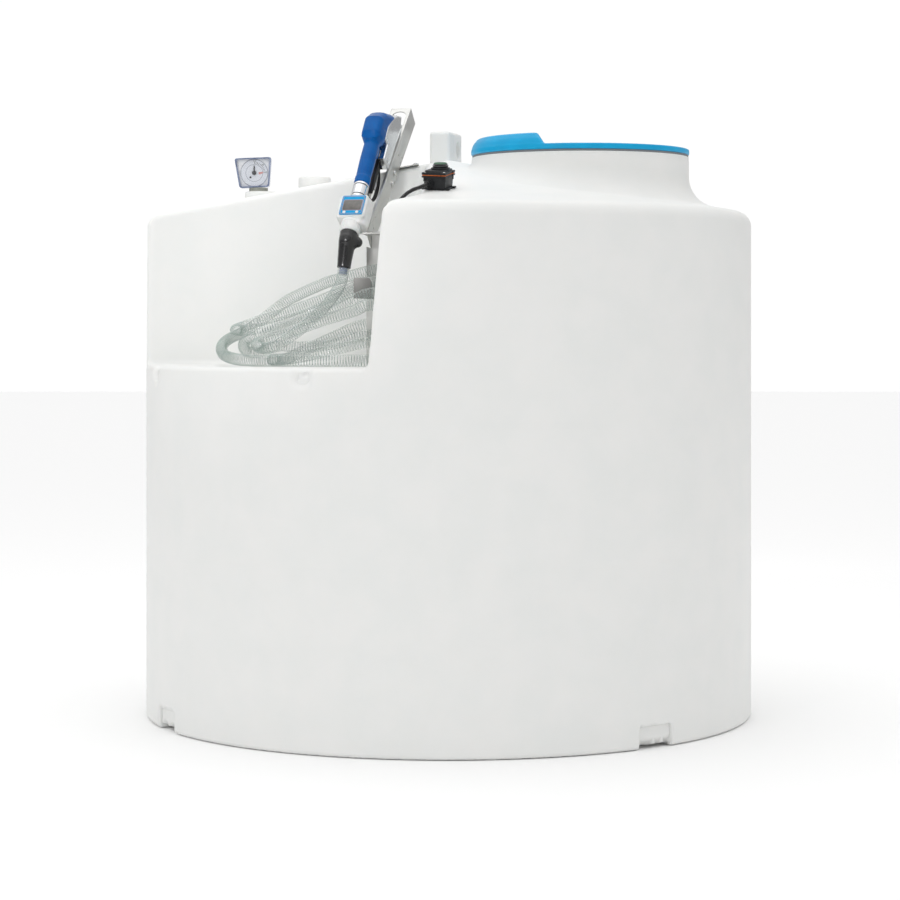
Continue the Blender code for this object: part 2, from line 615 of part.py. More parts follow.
def catmull(route, count):
    """Evenly spaced points on a smooth curve through a route's points."""
    ends = [2 * route[0] - route[1], *route, 2 * route[-1] - route[-2]]
    fine = []
    steps = 24
    for a, b, c, d in zip(ends, ends[1:], ends[2:], ends[3:]):
        for i in range(steps):
            t = i / steps
            fine.append(0.5 * (2 * b + (c - a) * t + (2 * a - 5 * b + 4 * c - d) * t ** 2
                               + (3 * b - a - 3 * c + d) * t ** 3))
    fine.append(route[-1])
    travelled = [0.0]
    for p, q in zip(fine, fine[1:]):
        travelled.append(travelled[-1] + (q - p).length)
    points, j = [], 0
    for i in range(count):
        goal = travelled[-1] * i / (count - 1)
        while j < len(fine) - 2 and travelled[j + 1] < goal:
            j += 1
        share = (goal - travelled[j]) / (travelled[j + 1] - travelled[j])
        points.append(fine[j].lerp(fine[j + 1], min(1, share)))
    return points


def nozzle_holder():
    """A stainless channel with a round-topped opening, its roof foot, and its leg with a rest."""
    half, depth, sheet = HOLDER_WIDTH / 2, HOLDER_DEPTH, HOLDER_PLATE
    channel = plate("holder_channel", [(-half, 0), (half, 0), (half, depth), (half - sheet, depth),
                                       (half - sheet, sheet), (sheet - half, sheet), (sheet - half, depth),
                                       (-half, depth)], -HOLDER_LENGTH, 0, STEEL, where=HOLDER)
    opening = HOLDER_OPENING / 2
    top = 0.012 + opening
    slot = block("opening_slot", (2 * opening, 0.02, HOLDER_LENGTH), (0, 0, -top - HOLDER_LENGTH / 2), None, CUTTERS,
                 HOLDER)
    round_top = rod("opening_round", opening, (0, -0.01, -top), (0, 0.01, -top), None, CUTTERS, HOLDER)
    cut(channel, slot, round_top)
    around = block("around_channel", (HOLDER_WIDTH + 2 * GAP, depth + 2 * GAP, HOLDER_LENGTH + 2 * GAP),
                   (0, depth / 2, -HOLDER_LENGTH / 2), None, CUTTERS, HOLDER)
    foot_x, foot_y = -0.094, 0.004
    tilt = Matrix.Rotation(-ROOF_TILT, 4, "Y")
    foot = block("holder_roof_foot", (0.050, 0.070, 0.003), (0, 0, 0.0022), STEEL,
                 where=Matrix.Translation((foot_x, foot_y, roof_height(foot_x, 0))) @ tilt)
    cut(foot, around)
    leg = block("holder_leg", (LEG_WIDTH, LEG_PLATE, 0.300), (LEG_X, LEG_Y, LEDGE_Z + GAP + 0.150), STEEL)
    rest = plate("leg_rest", [(LEG_X - 0.0295, -0.286), (LEG_X + LEG_WIDTH / 2, -0.286),
                              (LEG_X + LEG_WIDTH / 2, LEG_Y), (LEG_X - 0.0295, LEG_Y)], REST_Z, REST_Z + LEG_PLATE,
                 None, CUTTERS)
    join(leg, rest)
    cut(leg, around)
    # The hook for the hose: an arm towards the front and an end plate with a rounded corner
    arm_y = LEG_Y - LEG_PLATE / 2 - GAP
    hook = plate("hose_hook", [(-0.178, arm_y), (-0.206, HOOK_Y), (-0.174, HOOK_Y), (-0.150, arm_y)],
                 HOOK_Z, HOOK_Z + LEG_PLATE, STEEL)
    corner = [(-0.180 + 0.010 * math.sin(math.radians(15 * i)), 0.989 + 0.010 * math.cos(math.radians(15 * i)))
              for i in range(7)]
    end = plate("hook_end", [(-0.209, HOOK_Z), (-0.170, HOOK_Z), *reversed(corner), (-0.209, 0.999)],
                -HOOK_Y - LEG_PLATE / 2, -HOOK_Y + LEG_PLATE / 2, None, CUTTERS, Matrix.Rotation(math.pi / 2, 4, "X"))
    join(hook, end)


def side_plate(name, outline, half_width, finish, group=None):
    """An outline of (back, up) in the nozzle's plane, with thickness to both sides."""
    return plate(name, outline, -half_width, half_width, finish, group, NOZZLE @ SIDEWAYS)


def filling_nozzle(axis):
    """Cover with handle, body, spout, guard, trigger lever with its latch, and swivel."""
    cover = side_plate("nozzle_cover", [(-0.030, -0.034), (-0.031, 0.015), (-0.014, 0.046), (0.030, 0.078),
                                        (0.058, 0.093), (0.0715, 0.086), (0.0444, 0.050), (0.0204, 0.019),
                                        (0.0204, -0.034)], 0.024, COVER_BLUE)
    handle = rod("nozzle_handle", HANDLE_RADIUS, (0, 0, -0.025), (0, 0, -0.170), None, CUTTERS, NOZZLE)
    tongue = side_plate("cover_tongue", [(0.008, -0.030), (0.0200, -0.020), (0.0330, -0.050), (0.0310, -0.068),
                                         (0.0150, -0.068)], 0.010, None, CUTTERS)
    join(cover, handle, tongue)
    body = side_plate("nozzle_body", [(0.0360, -0.0620), (0.0360, -0.0180), (0.0212, -0.0170), (0.0212, 0.0186),
                                      (0.0452, 0.0494), (0.0725, 0.0855), (0.0700, 0.0950), (0.0740, 0.1020),
                                      (0.0850, 0.0709), (0.0830, 0.0450), (0.0800, 0.0000),
                                      (0.0780, -0.0300), (0.0742, -0.0620)], 0.026, ALUMINIUM)
    slot = side_plate("lever_slot", [(0.030, -0.075), (0.030, -0.036), (0.072, -0.036), (0.072, -0.075)], 0.008,
                      None, CUTTERS)
    cut(body, slot)
    pin = rod("lever_pin", 0.0020, (-0.0100, *LEVER_PIVOT), (0.0100, *LEVER_PIVOT), None, CUTTERS, NOZZLE, sides=24)
    join(body, pin)
    direction = Vector((0, 0.943, 0.333))
    root = Vector((0, 0.0795, 0.0865)) + direction * 2 * GAP
    spout = tube("nozzle_spout", [root, root + direction * 0.010, (0, 0.1050, 0.0995), (0, 0.1200, 0.1075),
                                  (0, 0.1440, 0.1170), Vector((0, 0.1440, 0.1170)) + direction * 0.019], SPOUT_RADIUS,
                 ALUMINIUM, where=NOZZLE, sides=5)
    bore = rod("spout_bore", 0.0070, (0, 0.1440, 0.1170), Vector((0, 0.1440, 0.1170)) + direction * 0.04, None,
               CUTTERS, NOZZLE, sides=24)
    cut(spout, bore)
    guard = [(0, 0.0690, -0.0624), (0, 0.0690, -0.0680), (0, 0.0800, -0.0800), (0, 0.0880, -0.0980),
             (0, 0.0900, -0.1180), (0, 0.0850, -0.1400), (0, 0.0720, -0.1560), (0, 0.0520, -0.1640),
             (0, 0.0320, -0.1640), (0, 0.0180, -0.1640)]
    tube("lever_guard", guard, 0.0035, BLACK, where=NOZZLE, sides=3)
    lever = side_plate("trigger_lever", [(0.046, -0.045), (0.060, -0.045), (0.062, -0.075), (0.060, -0.110),
                                         (0.056, -0.148), (0.048, -0.150), (0.046, -0.110), (0.047, -0.075)],
                       0.006, BLACK)
    cut(lever, rod("lever_bore", 0.0024, (-0.02, *LEVER_PIVOT), (0.02, *LEVER_PIVOT), None, CUTTERS, NOZZLE, sides=24))
    hang(lever, axis)
    latch = side_plate("lever_latch", [(0.0624, -0.0800), (0.0690, -0.0780), (0.0740, -0.1080), (0.0720, -0.1260),
                                       (0.0660, -0.1260), (0.0660, -0.1100), (0.0612, -0.1000)], 0.004, CHROME)
    hang(latch, axis)
    rod("nozzle_swivel", SWIVEL_RADIUS, (0, 0, -0.1703), (0, 0, METER_TOP + GAP), CHROME, where=NOZZLE)


def flow_meter():
    """Housing, face with its screen, and the nut towards the hose."""
    deep, high = 0.045, 0.064
    block("meter_housing", (0.066, deep, high), (0, 0, METER_TOP - high / 2), WHITE, where=NOZZLE, bevel=0.003)
    block("meter_face", (0.056, 0.002, 0.054), (0, -deep / 2 - 0.0013, METER_TOP - high / 2), LABEL_BLUE,
          where=NOZZLE)
    rod("coupling_nut", 0.023, (0, 0, METER_TOP - high - GAP), (0, 0, NUT_END), WHITE, where=NOZZLE)


def hose_boot():
    """The black sleeve at the hose's end, which bends down and narrows."""
    curve = bpy.data.curves.new("hose_boot", "CURVE")
    curve.dimensions = "3D"
    curve.bevel_depth = 1.0
    curve.bevel_resolution = 6
    curve.use_fill_caps = True
    spline = curve.splines.new("POLY")
    count = 8
    start = [NOZZLE @ Vector((0, 0, NUT_END - GAP - along)) for along in (0, 0.012, 0.020)]
    ends = catmull(start + [Vector(p) for p in BOOT_ROUTE], count)
    spline.points.add(count - 1)
    for i, place in enumerate(ends):
        spline.points[i].co = (*place, 1)
        spline.points[i].radius = 0.021 - 0.005 * i / (count - 1)
    boot = from_curve("hose_boot", curve, RUBBER)
    join(boot, rod("boot_lug", 0.0105, (-0.2228, -0.3010, 1.0755), (-0.1953, -0.3010, 1.0720), None, CUTTERS, sides=24))


def bay_fitting():
    """The hose's outlet, square to the side wall's slope."""
    into_bay = Vector((-1, 0, BAY_DRAFT)).normalized()
    where = Matrix.Translation(OUTLET) @ into_bay.to_track_quat("Z", "Y").to_matrix().to_4x4()
    turned("hose_outlet", [(0, OUTLET_LENGTH), (0.0120, OUTLET_LENGTH), (0.0165, OUTLET_LENGTH - 0.002),
                           (0.0165, 0.022), (0.0210, 0.022), (0.0210, 0.006), (0.0260, 0.006), (0.0260, 0.0006),
                           (0, 0.0006)], BLACK, ring=False, sides=24, where=where)
    return into_bay


def bay_hose(into_bay):
    before, boot_end = [Vector(p) for p in BOOT_ROUTE[-2:]]
    down = (boot_end - before).normalized()
    start = boot_end + down * 2 * GAP
    outlet_end = Vector(OUTLET) + into_bay * (OUTLET_LENGTH + GAP)
    route = [start + down * 0.014, *[Vector(p) for p in HOSE_ROUTE], outlet_end + into_bay * 0.022]
    tube("delivery_hose", [start, *catmull(route, HOSE_POINTS), outlet_end], HOSE_DIAMETER / 2, HOSE, sides=2)


def switch_cable(where):
    """From the gland over the roof's edge and down into the bay."""
    start = where @ Vector((-0.012, -0.0423, 0.015))
    lead = where @ Vector((-0.012, -0.0560, 0.014))
    over_edge = ((-0.0610, -0.5850, 1.1830), (-0.0770, -0.5985, 1.1762), (-0.0945, -0.6060, 1.1630),
                 (-0.1090, -0.6060, 1.1430), (-0.1155, -0.6005, 1.1190), (-0.1120, -0.5895, 1.0985),
                 (-0.1010, -0.5775, 1.0850), (-0.0865, -0.5712, 1.0804), (-0.0759, -0.5700, 1.0800))
    route = [start, lead, *[Vector(p) for p in over_edge]]
    tube("switch_cable", catmull(route, 16), 0.0035, BLACK, sides=2)
    rod("cable_grommet", 0.008, (-0.0690, -0.570, 1.080), (-0.0752, -0.570, 1.080), BLACK, sides=24)


def hang(piece, axis):
    """Parents a piece to the empty on its joint's axis, leaving it where it is."""
    piece.parent = axis
    piece.matrix_parent_inverse = axis.matrix_world.inverted()


def joint_axis(name, place):
    axis = bpy.data.objects.new(name, None)
    axis.location = place
    PARTS.objects.link(axis)
    bpy.context.view_layer.update()
    return axis


def build():
    tank_wall()
    tank_floor()
    tank_roof()
    bay_ledge()
    bay_back_wall()
    bay_side_wall()
    manhole_neck()
    manhole_seal()
    manhole_lid(joint_axis("lid_axis", HINGE_POINT))
    lid_hinge_bracket()
    lifting_lug()
    vent()
    level_gauge(joint_axis("pointer_axis", GAUGE_DIAL))
    switch_cable(switch_box())
    nozzle_holder()
    filling_nozzle(joint_axis("lever_axis", NOZZLE @ Vector((0, *LEVER_PIVOT))))
    flow_meter()
    hose_boot()
    bay_hose(bay_fitting())


build()
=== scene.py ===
# %% [markdown]
# # A rotomoulded storage tank, dressed for the camera
# The imported CAD model is the frame: it says where every wall, pipe and pivot is. This lesson loads it,
# and then builds what the eye sees on top of it: one smooth plastic skin, clear hose, blue lid, metal
# and glass.

# %% Load the frame
import math

import bmesh
import bpy
import numpy as np
from mathutils import Matrix, Vector


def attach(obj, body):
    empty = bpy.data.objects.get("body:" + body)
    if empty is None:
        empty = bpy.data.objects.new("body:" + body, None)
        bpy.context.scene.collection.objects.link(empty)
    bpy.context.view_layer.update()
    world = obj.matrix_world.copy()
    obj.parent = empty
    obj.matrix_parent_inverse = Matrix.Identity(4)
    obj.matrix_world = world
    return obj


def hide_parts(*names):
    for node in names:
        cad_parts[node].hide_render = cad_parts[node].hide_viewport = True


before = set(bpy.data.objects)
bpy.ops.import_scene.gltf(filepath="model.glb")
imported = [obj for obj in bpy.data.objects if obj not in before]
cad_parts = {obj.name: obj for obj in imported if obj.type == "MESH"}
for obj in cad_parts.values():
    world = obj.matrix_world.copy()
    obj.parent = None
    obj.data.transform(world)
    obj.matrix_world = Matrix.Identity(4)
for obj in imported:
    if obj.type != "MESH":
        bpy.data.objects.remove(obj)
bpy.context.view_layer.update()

# %% [markdown]
# ## The camera
# The photograph is a product view: a long lens, level, at 0.88 m, almost six metres away, with the
# picture shifted down like a view camera, so that upright lines stay upright. A level camera with a
# shifted lens gives the same straight walls, where a tilted camera would make them lean.

# %% Camera
IMAGE = 900  # the photograph's width and height in pixels
FOCAL_PX = 2492
AXIS_X_PX = 448.75  # the tank's axis
HORIZON_Y_PX = 330


def linked(name, data):
    """A new object in the scene."""
    made = bpy.data.objects.new(name, data)
    bpy.context.scene.collection.objects.link(made)
    return made


eye = linked("camera", bpy.data.cameras.new("camera"))
eye.location = (0, -5.81, 0.884)
eye.rotation_euler = (math.radians(90), 0, 0)
eye.data.sensor_width = 36
eye.data.lens = FOCAL_PX / IMAGE * 36
eye.data.shift_x = (IMAGE / 2 - AXIS_X_PX) / IMAGE
eye.data.shift_y = (HORIZON_Y_PX - IMAGE / 2) / IMAGE
bpy.context.scene.camera = eye
print("lens", round(eye.data.lens, 1), "mm")

# %% [markdown]
# ## Colours and shader nodes
# A colour picked from a screen is an sRGB code, and a shader wants linear light, so one function turns
# the one into the other. A second function adds a shader node with its settings and links, which keeps
# each material below to the few lines that make it what it is.

# %% Colour and node helpers


def linear(code):
    """An sRGB code such as 'E8EAE9' as linear red, green, blue and alpha."""
    parts = [int(code[i:i + 2], 16) / 255 for i in (0, 2, 4)]
    return (*[p / 12.92 if p <= 0.04045 else ((p + 0.055) / 1.055) ** 2.4 for p in parts], 1.0)


def add(tree, kind, settings=None, **links):
    """A node of a kind. Settings set its options or sockets, by name or number; links feed its sockets."""
    made = tree.nodes.new(kind)
    for key, value in (settings or {}).items():
        if isinstance(key, str) and hasattr(made, key):
            setattr(made, key, value)
        else:
            made.inputs[key].default_value = value
    for key, source in links.items():
        name = key.replace("_", " ")
        socket = int(key[1:]) if key[0] == "n" and key[1:].isdigit() else name
        tree.links.new(source, made.inputs[socket])
    return made


def start(name, code, roughness, metallic=0.0, **sockets):
    """A material with its colour and finish set on the shader's own sockets."""
    made = bpy.data.materials.new(name)
    made.use_nodes = True
    shader = made.node_tree.nodes["Principled BSDF"]
    shader.inputs["Base Color"].default_value = linear(code)
    shader.inputs["Roughness"].default_value = roughness
    shader.inputs["Metallic"].default_value = metallic
    for key, value in sockets.items():
        shader.inputs[key.replace("_", " ")].default_value = value
    made.diffuse_color = linear(code)
    return made, made.node_tree, shader


def grain(tree, shader, size_mm, strength, depth_mm):
    """A raised grain of a real size on the surface, from the object's own coordinates."""
    place = add(tree, "ShaderNodeTexCoord").outputs["Object"]
    noise = add(tree, "ShaderNodeTexNoise", {"Scale": 1000 / size_mm, "Detail": 3}, Vector=place)
    bump = add(tree, "ShaderNodeBump", {"Strength": strength, "Distance": depth_mm / 1000},
               Height=noise.outputs["Fac"])
    tree.links.new(bump.outputs["Normal"], shader.inputs["Normal"])
    return place, bump


def mottle(tree, shader, place, size_mm, codes):
    """Slow changes between two colours over the surface."""
    noise = add(tree, "ShaderNodeTexNoise", {"Scale": 1000 / size_mm, "Detail": 4}, Vector=place)
    ramp = add(tree, "ShaderNodeValToRGB", Fac=noise.outputs["Fac"])
    for stop, code, where in zip(ramp.color_ramp.elements, codes, (0.35, 0.65)):
        stop.position = where
        stop.color = linear(code)
    tree.links.new(ramp.outputs["Color"], shader.inputs["Base Color"])


def uneven(tree, shader, place, size_mm, low, high):
    """Roughness that wanders between two values, as on any handled surface."""
    noise = add(tree, "ShaderNodeTexNoise", {"Scale": 1000 / size_mm, "Detail": 5}, Vector=place)
    span = add(tree, "ShaderNodeMapRange", {"To Min": low, "To Max": high}, Value=noise.outputs["Fac"])
    tree.links.new(span.outputs["Result"], shader.inputs["Roughness"])


def moulded(name, code, roughness, skin, clouds=None, wear=None, **sockets):
    """A plastic with a grain (size, strength, depth), cloudy colour (size, codes) and uneven gloss."""
    made, tree, shader = start(name, code, roughness, **sockets)
    place, _ = grain(tree, shader, *skin)
    if clouds:
        mottle(tree, shader, place, *clouds)
    if wear:
        uneven(tree, shader, place, *wear)
    return made


# %% [markdown]
# ## The plastics
# Rotomoulded polyethylene is powder melted onto the inside of a hot mould. It copies the mould's
# sandblasted skin, so it is matt with a wide soft highlight, it lets a little light into itself, and
# its wall carries slow waves and faint specks. The lid is the same plastic with blue pigment, and the
# injection-moulded pieces are smoother.

# %% Plastic materials
# Rotomoulded polyethylene, natural white: matt, a trace of light bleeding through the wall
white, tree, shader = start("polyethylene_rotomoulded_white", "EEEFEC", 0.42, IOR=1.51,
                            Subsurface_Weight=0.12, Subsurface_Scale=0.012, Specular_IOR_Level=0.3)
shader.inputs["Subsurface Radius"].default_value = (1.0, 0.9, 0.8)
place, bump = grain(tree, shader, 3.0, 0.10, 0.15)  # the mould's skin is 0.3 mm, drawn coarser to show
wave = add(tree, "ShaderNodeTexNoise", {"Scale": 1000 / 160, "Detail": 2}, Vector=place)
swell = add(tree, "ShaderNodeBump", {"Strength": 0.10, "Distance": 0.002}, Height=wave.outputs["Fac"])
tree.links.new(swell.outputs["Normal"], bump.inputs["Normal"])
mottle(tree, shader, place, 90, ("EDEEEC", "F0F0EE"))
uneven(tree, shader, place, 60, 0.36, 0.50)

# The same plastic with blue pigment, for the lid and its hinge
blue = moulded("polyethylene_rotomoulded_blue", "00A6DA", 0.38, (2.5, 0.12, 0.15), (70, ("00A0D4", "04ACE0")),
               (40, 0.30, 0.46), IOR=1.51, Specular_IOR_Level=0.3, Subsurface_Weight=0.05,
               Subsurface_Scale=0.004)
# Glass-filled polyamide, black and injection moulded: a fine even spark pattern
black = moulded("polyamide_moulded_black", "15171A", 0.40, (0.9, 0.16, 0.06), wear=(12, 0.34, 0.52),
                Specular_IOR_Level=0.35)
# Nozzle cover: soft vinyl, dipped, glossy and deep blue
cover_blue = moulded("vinyl_dipped_blue", "00549B", 0.22, (9, 0.06, 0.4), (30, ("005096", "0059A0")),
                     Specular_IOR_Level=0.1, Coat_Weight=0.10, Coat_Roughness=0.06)
# Nitrile rubber: the boot and the cable, glossy from the mould
rubber = moulded("nitrile_rubber_black", "0A0A0C", 0.24, (1.6, 0.12, 0.08), wear=(14, 0.18, 0.32),
                 Specular_IOR_Level=0.4, Coat_Weight=0.6, Coat_Roughness=0.10)
# Seals: foam rubber under the lid, silicone in the switch box and on its button
seal = moulded("foam_rubber_grey", "7E8286", 0.7, (1.2, 0.4, 0.2))
orange = moulded("silicone_seal_orange", "C8641E", 0.5, (1.0, 0.15, 0.06))
green = moulded("silicone_cap_green", "2C5C3E", 0.45, (1.0, 0.15, 0.06))
# Acetal, the meter's housing and nut: white, dense and slightly waxy
acetal = moulded("acetal_moulded_white", "DCDDDC", 0.35, (1.1, 0.12, 0.06), (20, ("D6D8D7", "E2E3E2")),
                 Subsurface_Weight=0.08, Subsurface_Scale=0.003)
grey = moulded("polypropylene_grey", "9A9C93", 0.4, (1.0, 0.15, 0.06))
# The meter's printed face, its thin lines and its window
face_blue = moulded("printed_film_blue", "0A94CE", 0.28, (4, 0.05, 0.05), (12, ("0890CA", "0E99D4")),
                    Specular_IOR_Level=0.2)
copper = moulded("printed_film_brown", "B58A72", 0.4, (2, 0.05, 0.05))
screen = moulded("liquid_crystal_grey", "5A5855", 0.16, (3, 0.04, 0.05), (9, ("53514F", "625F5B")),
                 Coat_Weight=0.6, Coat_Roughness=0.05)
# The gauge's card and its inks: matt, with the paper's tooth
dial_white, ink, grey_ink, red_ink = [moulded(name, code, 0.5, (0.8, 0.08, 0.05)) for name, code in (
    ("printed_card_white", "DADDE4"), ("printing_ink_black", "1E2024"), ("printing_ink_grey", "8A909C"),
    ("printing_ink_red", "C98A84"))]
# Acrylic: the gauge's window is clear, and its thick edge gathers a blue-grey tint
acrylic = moulded("acrylic_clear", "F2F5FA", 0.06, (20, 0.03, 0.2), Alpha=0.05, IOR=1.49)
acrylic_edge = moulded("acrylic_edge_blue", "727D9A", 0.15, (6, 0.06, 0.2), (14, ("5F6B8A", "929DB6")),
                       Coat_Weight=0.4)
acrylic_body = moulded("acrylic_frosted_white", "F2F3F5", 0.22, (5, 0.05, 0.2))
print("plastics", len(bpy.data.materials))

# %% [markdown]
# ## The metals
# The holder is folded from stainless sheet with a brushed face: the belt leaves hair lines along the
# sheet, which stretch the highlight. The nozzle's body is cast aluminium polished bright, and the
# swivel and latch are chrome on brass. A metal takes the right roughness, and lines that follow the
# way it was worked. The hose hook's steel is darker, and that colour is painted shade.

# %% Metal materials


def brushed(name, code, low, high, stretch, line_mm, strength):
    """A metal whose hair lines are drawn out by a stretch, with a little cloudiness in its tone."""
    made, tree, shader = start(name, code, low, 1.0)
    place = add(tree, "ShaderNodeTexCoord").outputs["Object"]
    long_way = add(tree, "ShaderNodeMapping", {"Scale": stretch}, Vector=place)
    lines = add(tree, "ShaderNodeTexNoise", {"Scale": 1000 / line_mm, "Detail": 4},
                Vector=long_way.outputs["Vector"])
    span = add(tree, "ShaderNodeMapRange", {"To Min": low, "To Max": high}, Value=lines.outputs["Fac"])
    tree.links.new(span.outputs["Result"], shader.inputs["Roughness"])
    bump = add(tree, "ShaderNodeBump", {"Strength": strength, "Distance": 0.0001},
               Height=lines.outputs["Fac"])
    tree.links.new(bump.outputs["Normal"], shader.inputs["Normal"])
    cloud = add(tree, "ShaderNodeTexNoise", {"Scale": 1000 / 45, "Detail": 3}, Vector=place)
    ramp = add(tree, "ShaderNodeValToRGB", Fac=cloud.outputs["Fac"])
    ramp.color_ramp.elements[0].color = tuple(v * 0.9 for v in linear(code)[:3]) + (1,)
    ramp.color_ramp.elements[1].color = linear(code)
    tree.links.new(ramp.outputs["Color"], shader.inputs["Base Color"])
    return made


# Hair lines are 0.05 mm apart on the real sheet, and are drawn at 0.8 mm so that they show
steel = brushed("stainless_sheet_brushed", "D2D2CF", 0.30, 0.48, (1, 0.08, 0.08), 0.8, 0.25)
# The hose hook's steel: a rougher plain face, and a darker colour that is painted shade
plain_steel_painted_shade = brushed("stainless_sheet_plain_painted_shade", "8C8B89", 0.45, 0.60, (1, 1, 1), 2.0, 0.15)
chrome = brushed("chrome_plate", "E2E3E6", 0.06, 0.14, (1, 1, 0.3), 6, 0.06)
aluminium = brushed("aluminium_cast_polished", "E6E8EA", 0.14, 0.30, (1, 1, 0.4), 2.5, 0.12)
bolt_steel = brushed("stainless_bolt_turned", "D4D4D2", 0.16, 0.30, (1, 1, 1), 1.0, 0.12)
print("metals ready")

# %% [markdown]
# ## Clear hose
# The delivery hose is clear vinyl with a stiff grey-green spiral in its wall. Seen from outside it is
# neither glass nor white: where the wall is met edge-on it turns milky green, and in the middle one
# looks through it. The shader's alpha follows the angle at which the wall is met, which any renderer
# can show, where true refraction through a dozen overlapping hoses would only give noise.

# %% Hose materials
hose_clear, tree, shader = start("vinyl_extruded_clear", "E4EEE9", 0.10, IOR=1.53, Specular_IOR_Level=0.9)
grain(tree, shader, 6, 0.10, 0.3)
edge = add(tree, "ShaderNodeLayerWeight", {"Blend": 0.38}).outputs["Facing"]
thick = add(tree, "ShaderNodeMapRange", {"From Min": 0.25, "To Min": 0.07, "To Max": 0.52}, Value=edge)
tree.links.new(thick.outputs["Result"], shader.inputs["Alpha"])
tint = add(tree, "ShaderNodeValToRGB", Fac=edge)
tint.color_ramp.elements[0].color = linear("FFFFFF")
tint.color_ramp.elements[1].color = linear("CCDAD3")
tree.links.new(tint.outputs["Color"], shader.inputs["Base Color"])
hose_wire = moulded("vinyl_spiral_grey_green", "7F938A", 0.30, (3, 0.08, 0.1), (25, ("74887F", "8B9D95")))

# %% [markdown]
# ## Making pieces
# Every piece ends the same way: its mesh in place, its object at the origin, a material, the body it
# rides on, and the CAD parts that it stands for hidden. One function does that for all of them.

# %% Finish a piece


def mesh_of(form, name="part"):
    """A bmesh as a mesh."""
    mesh = bpy.data.meshes.new(name)
    form.to_mesh(mesh)
    form.free()
    return mesh


def piece(name, mesh, finish, body="tank", stands_for=(), smooth=38):
    """An object at the origin from a mesh in place, riding on a body."""
    if isinstance(mesh, bmesh.types.BMesh):
        mesh = mesh_of(mesh, name)
    made = linked(name, mesh)
    if not mesh.materials:
        mesh.materials.append(finish)
    if smooth is not None:
        mesh.shade_smooth()
        mesh.set_sharp_from_angle(angle=math.radians(smooth))
    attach(made, body)
    if stands_for:
        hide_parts(*stands_for)
    return made


def sweep(points, radii, sides=16, caps=True):
    """A tube mesh along points, with a radius at each, and a UV map in metres along and round it."""
    points = [Vector(p) for p in points]
    radii = list(radii) if hasattr(radii, "__len__") else [radii] * len(points)
    form = bmesh.new()
    ahead = [(points[min(i + 1, len(points) - 1)] - points[max(i - 1, 0)]).normalized()
             for i in range(len(points))]
    side = (Vector((0, 0, 1)) if abs(ahead[0].z) < 0.9 else Vector((1, 0, 0))).cross(ahead[0]).normalized()
    rings, travelled = [], [0.0]
    for i, (point, way, radius) in enumerate(zip(points, ahead, radii)):
        if i:
            side = ahead[i - 1].rotation_difference(way) @ side
            travelled.append(travelled[-1] + (point - points[i - 1]).length)
        other = way.cross(side)
        rings.append([form.verts.new(point + radius * (math.cos(t) * side + math.sin(t) * other))
                      for t in (2 * math.pi * k / sides for k in range(sides))])
    layer = form.loops.layers.uv.new("along")
    for i in range(len(rings) - 1):
        for k in range(sides):
            j = (k + 1) % sides
            made = form.faces.new((rings[i][k], rings[i][j], rings[i + 1][j], rings[i + 1][k]))
            for loop, (u, v) in zip(made.loops, ((i, k), (i, k + 1), (i + 1, k + 1), (i + 1, k))):
                loop[layer].uv = (travelled[u], v / sides)
    if caps:
        form.faces.new(list(reversed(rings[0])))
        form.faces.new(rings[-1])
    return form


def catmull(route, count):
    """Evenly spaced points on a smooth curve through a route's points."""
    ends = [2 * route[0] - route[1], *route, 2 * route[-1] - route[-2]]
    fine = []
    for a, b, c, d in zip(ends, ends[1:], ends[2:], ends[3:]):
        for t in (i / 24 for i in range(24)):
            fine.append(0.5 * (2 * b + (c - a) * t + (2 * a - 5 * b + 4 * c - d) * t ** 2
                               + (3 * b - a - 3 * c + d) * t ** 3))
    fine.append(route[-1])
    travelled = [0.0]
    for p, q in zip(fine, fine[1:]):
        travelled.append(travelled[-1] + (q - p).length)
    points, j = [], 0
    for i in range(count):
        goal = travelled[-1] * i / (count - 1)
        while j < len(fine) - 2 and travelled[j + 1] < goal:
            j += 1
        share = (goal - travelled[j]) / (travelled[j + 1] - travelled[j])
        points.append(fine[j].lerp(fine[j + 1], min(1, share)))
    return points


# %% [markdown]
# ## The delivery hose
# Four and a half metres of 26 mm hose leave the nozzle's boot, lie in loops on the bay's ledge and over
# the hook, and end in the outlet in the side wall. It lies where the CAD tube lies, so the same route
# is given here. The tube is swept by hand, which gives it a map along its length.

